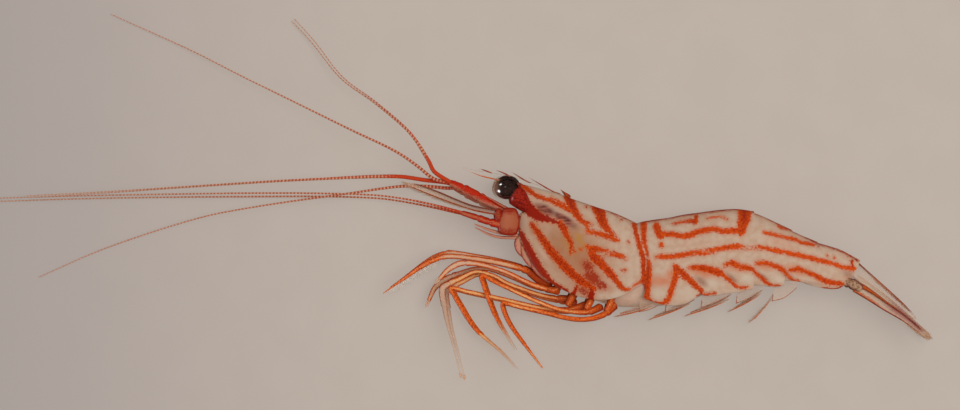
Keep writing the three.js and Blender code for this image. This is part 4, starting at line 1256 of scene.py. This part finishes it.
# %% Mouthparts
MOUTH_LEAVES = [  # (route, radii)
    ([(-8.1, 2.4, 1.2), (-8.5, 1.4, 1.3), (-8.2, 0.4, 1.3), (-7.5, -0.4, 1.2)], [0.3, 0.46, 0.42, 0.15]),
    ([(-7.9, 1.3, 1.5), (-7.6, 0.0, 1.6), (-7.0, -1.0, 1.6), (-6.2, -1.9, 1.5)], [0.4, 0.5, 0.42, 0.15]),
    ([(-6.8, 0.0, 1.8), (-6.4, -1.4, 1.9), (-5.6, -2.4, 1.9), (-4.8, -3.2, 1.7)], [0.4, 0.5, 0.42, 0.15]),
    ([(-8.4, 2.3, 1.2), (-11.2, 2.75, 1.6), (-13.7, 3.65, 1.7)], [0.2, 0.17, 0.06]),
    ([(-8.3, 2.0, 1.1), (-11.2, 2.2, 1.3), (-13.6, 3.25, 1.3)], [0.18, 0.15, 0.05]),
]

parts = []
for side in SIDES.values():
    for route, radii in MOUTH_LEAVES:
        leaf = tube("leaf", on_side(side, route), radii, sides=12, pitch=0.12, tall=0.6)
        tinge(leaf, red=0.3, lines=0.6, pale=0.6)
        parts.append(leaf)
finished(joined("mouth_leaves", parts), stalk_skin, "shell", "mouthparts")
print(len(parts), "leaves cover the mouth")

# %% [markdown]
# ## Maxillipeds and legs
# The third maxillipeds look like legs, with a tapered red last joint. The first two pairs of legs end in
# small pincers, and the second pair's long wrist is divided into many rings. The last three pairs are
# walking legs that end in a claw. Each leg is one tube along its solids' middle line, waisted at the
# joints, with the coxa and the pincers joined to it.

# %% Limb makers
def limb_piece(name, route, radii, joints, nodes, extras, rings=0, clear=0, **looks):
    """One limb with its colours, joined to its extra parts, standing for its solids."""
    limb = tube(name, route, radii, sides=14, pitch=0.1, joints=joints)
    tinge(limb, rings=rings, clear=clear, deep=[(0, 0.6), (0.1, 0.3), (0.2, 0)], **looks)
    finished(joined(name, [limb, *extras]), leg_skin, "leg", *nodes)


def stub(route, radii, red, lines, pale=0.0):
    """A short plain length of limb in one tone."""
    piece = tube("stub", route, radii, sides=14, pitch=0.1, tips=(0.9, 0.9))
    tinge(piece, red=red, lines=lines, pale=pale, deep=red - 0.35)
    return piece


def pincers(route, length, gape):
    """Two pale fingers that go on from a limb's end, a gape apart."""
    tip, way = np.array(route[-1]), np.array(route[-1]) - np.array(route[-2])
    way /= np.linalg.norm(way)
    across = np.cross(way, [0, 0, 1])
    fingers = []
    for turn in (1, -1):
        root = tip - way * 0.15 + across * gape * 0.6 * turn
        middle = tip + way * length * 0.45 + across * gape * turn
        end = tip + way * length + across * gape * 0.15 * turn
        fingers.append(stub([root, middle, end], [0.1, 0.085, 0.02], 0.2, 0.6, 0.9))
    return fingers


# %% Maxillipeds
for side_name, side in SIDES.items():
    node_name = f"maxilliped_{side_name}"
    route = spine_of(node_name, (-6, -2, MID + side * 0.7))
    root = on_side(side, [(-4.4, -3.3, 0.8), (-5.4, -3.2, 0.8)])
    root = stub([*root, tuple(route[1])], [0.7, 0.6, 0.45], 1.0, 0.8)
    limb_piece(f"{node_name}_limb", route, [0.42, 0.4, 0.36, 0.33, 0.3, 0.31, 0.25, 0.17, 0.04],
               (0.12, 0.6), [node_name], [root],
               red=[(0, 1), (0.1, 0.9), (0.2, 0.45), (0.55, 0.4), (0.62, 0.75), (0.72, 0.8), (1, 0.75)],
               lines=[(0, 1), (0.9, 0.9), (1, 0.6)],
               pale=[(0, 0), (0.2, 0.6), (0.55, 0.8), (0.66, 0.3), (0.8, 0.2)])
print("two third maxillipeds")

# %% The looks of the legs
# For each pair: radii, joints, and stops for the red, the dark edge lines with their painted edge shade,
# and the pale ground.
LEG_LOOKS = {
    1: dict(radii=[0.42, 0.32, 0.28, 0.27, 0.3, 0.36, 0.22], joints=(0.1, 0.5, 0.76),
            red=[(0, 0.95), (0.15, 0.65), (0.5, 0.55), (0.7, 0.45), (0.85, 0.35), (1, 0.5)],
            lines=[(0, 0.9), (0.8, 0.9), (1, 0.7)], pale=[(0, 0), (0.3, 0.5), (0.75, 1), (1, 0.6)]),
    2: dict(radii=[0.42, 0.28, 0.25, 0.24, 0.26, 0.4, 0.24, 0.14, 0.1], joints=(0.08, 0.42, 0.58, 0.7),
            red=[(0, 0.9), (0.15, 0.5), (0.45, 0.45), (0.55, 0.4), (0.6, 0.25), (0.7, 0.12), (1, 0)],
            lines=[(0, 0.9), (0.5, 0.8), (0.68, 0.7), (0.8, 0.2)],
            pale=[(0, 0), (0.54, 0.15), (0.6, 1), (1, 0.9)],
            rings=[(0.42, 0), (0.44, 1), (0.92, 1), (0.94, 0)],
            clear=[(0.6, 0), (0.7, 0.3), (0.85, 0.6), (1, 0.8)]),
    3: dict(radii=[0.42, 0.3, 0.26, 0.25, 0.25, 0.24, 0.22, 0.15, 0.05], joints=(0.08, 0.6, 0.8),
            red=[(0, 0.9), (0.15, 0.5), (0.5, 0.45), (0.59, 0.8), (0.62, 1.1), (0.78, 1.1), (0.8, 0.4),
                 (0.92, 0.3), (1, 0)],
            lines=[(0, 0.9), (0.78, 0.6), (0.82, 0.1)], pale=[(0, 0), (0.8, 0), (0.84, 0.5), (1, 1)],
            clear=[(0.8, 0), (0.84, 0.25), (0.92, 0.4), (1, 0.8)]),
    4: dict(radii=[0.42, 0.3, 0.26, 0.25, 0.25, 0.24, 0.22, 0.14, 0.05], joints=(0.08, 0.58, 0.82),
            red=[(0, 1), (0.1, 0.7), (0.4, 0.5), (0.56, 0.8), (0.6, 1.1), (0.82, 1.05), (0.86, 0.6),
                 (0.93, 0.3), (1, 0)],
            lines=[(0, 0.9), (0.8, 0.6), (0.9, 0.1)], pale=[(0, 0), (0.84, 0), (0.92, 0.7), (1, 1)],
            clear=[(0.84, 0), (0.9, 0.4), (1, 0.7)]),
    5: dict(radii=[0.42, 0.3, 0.26, 0.25, 0.24, 0.24, 0.22, 0.15, 0.05], joints=(0.08, 0.62, 0.86),
            red=[(0, 0.8), (0.15, 0.95), (0.4, 0.8), (0.55, 0.5), (0.62, 1.1), (0.85, 1.1), (0.88, 0.6),
                 (1, 0.5)],
            lines=[(0, 0.9), (0.86, 0.6), (0.9, 0.2)], pale=[(0, 0), (0.88, 0), (1, 0.5)]),
}
# Where each leg's coxa comes out from under the carapace. A coxa of two places runs on into its leg.
COXAE = {
    1: [(-3.5, -2.4, 1.2), (-4.0, -4.0, 1.8)],
    2: [(-1.7, -3.5, 1.0), (-2.2, -5.0, 0.9)],
    3: [(-1.6, -3.6, 1.2), (-2.3, -5.1, 1.9), (-2.8, -6.0, 1.8)],
    4: [(0.4, -3.7, 1.3), (0.0, -5.2, 2.2), (-0.6, -6.4, 2.6)],
    5: [(2.2, -3.7, 1.5), (2.4, -5.2, 2.2)],
}
PINCERS = {1: (0.8, 0.12), 2: (0.5, 0.07)}  # the length and gape of the pairs that have them

# %% Legs
def leg_route(number, side_name):
    if number == 1:
        return spine_of(f"leg_1_{side_name}", (-3, -4, MID))
    upper = spine_of(f"leg_{number}_upper_{side_name}", (3, -5, MID))
    return np.vstack([upper, spine_of(f"leg_{number}_lower_{side_name}", upper[-1])])


for number, looks in LEG_LOOKS.items():
    for side_name, side in SIDES.items():
        route = leg_route(number, side_name)
        coxa = on_side(side, COXAE[number])
        if len(coxa) == 2:
            coxa.append(tuple(route[1]))
        extras = [stub(coxa, [0.52, 0.45, 0.4], 0.8, 0.8)]
        if number in PINCERS:
            extras += pincers(route, *PINCERS[number])
        own = [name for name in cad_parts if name.startswith(f"leg_{number}_")]
        nodes = [name for name in own if name.endswith(side_name)]
        limb_piece(f"leg_{number}_{side_name}", route, nodes=nodes, extras=extras, **looks)
print(2 * len(LEG_LOOKS), "legs")

# %% [markdown]
# ## Swimmerets
# Under each of the first five tail plates hangs a pair of swimmerets. Each has a flat root plate with an
# ink line along its front and lower edge, and two slender branches folded forwards under the belly.

# %% Swimmeret parts
# For each pair: front corner, middle and rear of the lower edge, then tip and root of the branches.
SWIMMERETS = [
    dict(lower=[(5.75, -6.75), (6.9, -6.5), (8.0, -6.0)], tip=(3.0, -7.25), root=(7.4, -6.1)),
    dict(lower=[(8.8, -6.75), (10.6, -6.2), (12.3, -5.3)], tip=(7.0, -7.6), root=(11.8, -5.8)),
    dict(lower=[(13.05, -6.25), (14.8, -5.6), (16.6, -4.7)], tip=(11.3, -7.15), root=(16.4, -5.3)),
    dict(lower=[(17.2, -5.75), (18.8, -5.1), (20.3, -4.2)], tip=(16.4, -6.65), root=(20.2, -4.6)),
    dict(lower=[(21.45, -5.45), (22.9, -5.05), (24.4, -3.85)], tip=(18.9, -7.9), root=(21.6, -5.1)),
]
HINGE_HEIGHTS = [1.9, 2.2, 1.6]  # how far the hidden hinge lies over the lower edge
BRANCH_HEIGHTS = [0.1, 0.3, 0.3, 0.2, 0.03]  # of a branch, from its root to its tip
BRANCH_SAG = 0.12
LAST_PAIR_INK = 0.6  # the last pair is the palest


def root_plate(side, lower):
    """The flat root plate, from its hidden hinge down to its lower edge."""
    upper = np.array(lower) + np.outer(HINGE_HEIGHTS, [0.1, 1.0])
    rims = [[(x, y, rise) for x, y in rim] for rim, rise in ((upper, 2.2), (lower, 2.35))]
    rims = [on_side(side, rim, nearer=True) for rim in rims]
    leaf, along, down = through_curves("root_plate", rims, 30, 16, 0.14)
    front_edge = near(along, [0], 0.06) * 0.75 * (down > 0.5)
    carry(leaf, ink=either(near(down, [1], 0.07) * 0.85, front_edge), dark=0.55, violet=0.1,
          body=0.12 + 0.4 * near(down, [1], 0.1))
    return leaf


def branch(side, root, tip, rise, lift, ink):
    """A slender leaf seen nearly edge on, with a red lower rim."""
    root, tip = np.array(root) + [0, lift], np.array(tip) + [lift * 1.5, lift]
    upper, lower = [], []
    for share, height in zip((0, 0.25, 0.5, 0.75, 1), BRANCH_HEIGHTS):
        x, y = root + (tip - root) * share - [0, BRANCH_SAG * math.sin(math.pi * share)]
        upper.append((x, y + height, rise - 1.5 * height))
        lower.append((x, y, rise + height))
    rims = [on_side(side, rim, nearer=True) for rim in (upper, lower)]
    leaf, along, down = through_curves("branch", rims, 40, 8, 0.09)
    rim_ink = near(down, [1], 0.35) * np.interp(along, [0, 0.3, 0.9, 1], [0.3, 0.8, 1, 0.8])
    carry(leaf, ink=ink * rim_ink, dark=0.15, violet=0.15 * along,
          body=ink * (0.3 + 0.3 * near(down, [1], 0.3)))
    return leaf


# %% Swimmerets
for number, look in enumerate(SWIMMERETS, start=1):
    ink = LAST_PAIR_INK if number == len(SWIMMERETS) else 1.0
    for side_name, side in SIDES.items():
        parts = [
            root_plate(side, look["lower"]),
            branch(side, look["root"], look["tip"], 2.2, 0.0, ink),
            branch(side, look["root"], look["tip"], 1.3, 0.35, ink),
        ]
        node_name = f"pleopod_{number}_{side_name}"
        finished(joined(f"{node_name}_leaves", parts), glassy, "clear_plate", node_name)
print(2 * len(SWIMMERETS), "swimmerets")

# %% [markdown]
# ## Bristles
# Fine bristles fringe the tail fan, the antennal scales, the swimmerets and the underside of the
# maxillipeds. Each is a three-sided spike with one bend, so a fringe of hundreds stays light. A fringe
# starts on evenly spaced points of an edge, a little inside the piece, and each bristle's length and lean
# differ slightly. Every bristle gets a small patch of its own on the bake map: its place along the edge
# goes across the map, and each fringe has its own row.

# %% Bristle helpers
chance = np.random.default_rng(7)
PATCH = 0.003  # how large a bristle is on the bake map
SPREAD = 0.12  # how much the bristles' ways differ
CURL = 0.1  # how much a bristle bends sideways, as a share of its length
SUNK = 0.06  # how far its root is sunk, as a share of its length


def fringe(edge, lean, length, spacing):
    """Roots, ways and lengths of the bristles along an edge."""
    _, reach = even_route(edge, 50)
    roots, _ = even_route(edge, max(5, int(reach / spacing)))
    ways = unit(np.array(lean, float) / np.linalg.norm(lean) + chance.normal(0, SPREAD, roots.shape))
    profile = np.interp(np.linspace(0, 1, len(roots)), [0, 0.15, 0.8, 1], [0.4, 1, 1, 0.6])
    return roots, ways, length * profile * chance.uniform(0.7, 1.1, len(roots))


def bristles(name, fringes, radius):
    """One mesh of bent spikes for several fringes, with a bake map."""
    points, faces, places = [], [], []
    for row, (roots, ways, lengths) in enumerate(fringes):
        for number, (root, way, length) in enumerate(zip(roots, ways, lengths)):
            first = np.cross(way, [0.3, 0.2, 1])
            first /= np.linalg.norm(first)
            second = np.cross(way, first)
            bend = (first * chance.normal(0, CURL) + second * chance.normal(0, CURL)) * length
            across = (number + 0.5) / len(roots)
            down = (row + 0.5) / len(fringes)
            start = len(points)
            for share, thick in ((-SUNK, 1.0), (0.5, 0.65)):
                for corner in range(3):
                    turn = 2 * math.pi * corner / 3
                    out = (first * math.cos(turn) + second * math.sin(turn)) * radius * thick
                    points.append(root + way * length * share + bend * max(share, 0) ** 2 + out)
                    places.append((across + PATCH * (corner - 1) / 2, down + PATCH * (share - 0.5)))
            points.append(root + way * length + bend)
            places.append((across, down + PATCH / 2))
            for corner in range(3):
                after = (corner + 1) % 3
                faces.append((start + corner, start + after, start + 3 + after, start + 3 + corner))
                faces.append((start + 3 + corner, start + 3 + after, start + 6))
    mesh = bpy.data.meshes.new(name)
    mesh.from_pydata((np.array(points) * MM).tolist(), [], faces)
    piece = bpy.data.objects.new(name, mesh)
    scene.collection.objects.link(piece)
    corners = np.empty(len(mesh.loops), int)
    mesh.loops.foreach_get("vertex_index", corners)
    mesh.uv_layers.new(name="OFBake").data.foreach_set("uv", np.array(places)[corners].ravel())
    only(piece)
    bpy.ops.object.shade_smooth()
    return piece


pale_bristle = Finish("bristle_pale", 0.5, specular=0.2)
pale_bristle.even("Base Color", srgb(232, 220, 206))
tan_bristle = Finish("bristle_tan", 0.5, specular=0.2)
tan_bristle.even("Base Color", srgb(196, 156, 124))

# %% Bristles
fan, head, belly, mouth = [], [], [], []
for side_name, side in SIDES.items():
    for upper, lower in UROPODS.values():
        edge = on_side(side, [*lower[3:], upper[-1]], nearer=True)
        fan.append(fringe(edge, (0.76, -0.64, 0.05 * side), 1.0, 0.05))
        edge = on_side(side, upper[4:], nearer=True)
        fan.append(fringe(edge, (0.76, -0.6, 0), 0.8, 0.06))
    head.append(fringe(on_side(side, SCALE_LOWER[2:]), (-0.82, 0.1, 0.35 * side), 1.1, 0.09))
    head.append(fringe(on_side(side, [SCALE_UPPER[-1], SCALE_LOWER[-1]]), (-0.9, 0.3, 0), 1.0, 0.05))
    for look in SWIMMERETS:
        root, tip = np.array(look["root"]), np.array(look["tip"])
        edge = [(*(root + (tip - root) * share), 2.3) for share in (0.3, 0.5, 0.7, 0.85, 1)]
        edge = on_side(side, edge, nearer=True)
        belly.append(fringe(edge, (-0.9, -0.35, 0.1 * side), 0.7, 0.09))
    route, _ = even_route(spine_of(f"maxilliped_{side_name}", (-6, -2, MID + side * 0.7)), 40)
    for step in (-0.35, 0.0, 0.35):
        mouth.append(fringe(route[23:38], (-0.1 + step, -0.95, 0.3 * step * side), 1.25, 0.2))
for name, fringes, radius, finish, slot in (
    ("tail_bristles", fan, 0.022, tan_bristle, "clear_plate"),
    ("scale_bristles", head, 0.018, tan_bristle, "clear_plate"),
    ("swimmeret_bristles", belly, 0.018, tan_bristle, "clear_plate"),
    ("mouth_bristles", mouth, 0.03, pale_bristle, "leg"),
):
    finished(bristles(name, fringes, radius), finish, slot)
    print(name, "has", sum(len(roots) for roots, _, _ in fringes), "bristles")
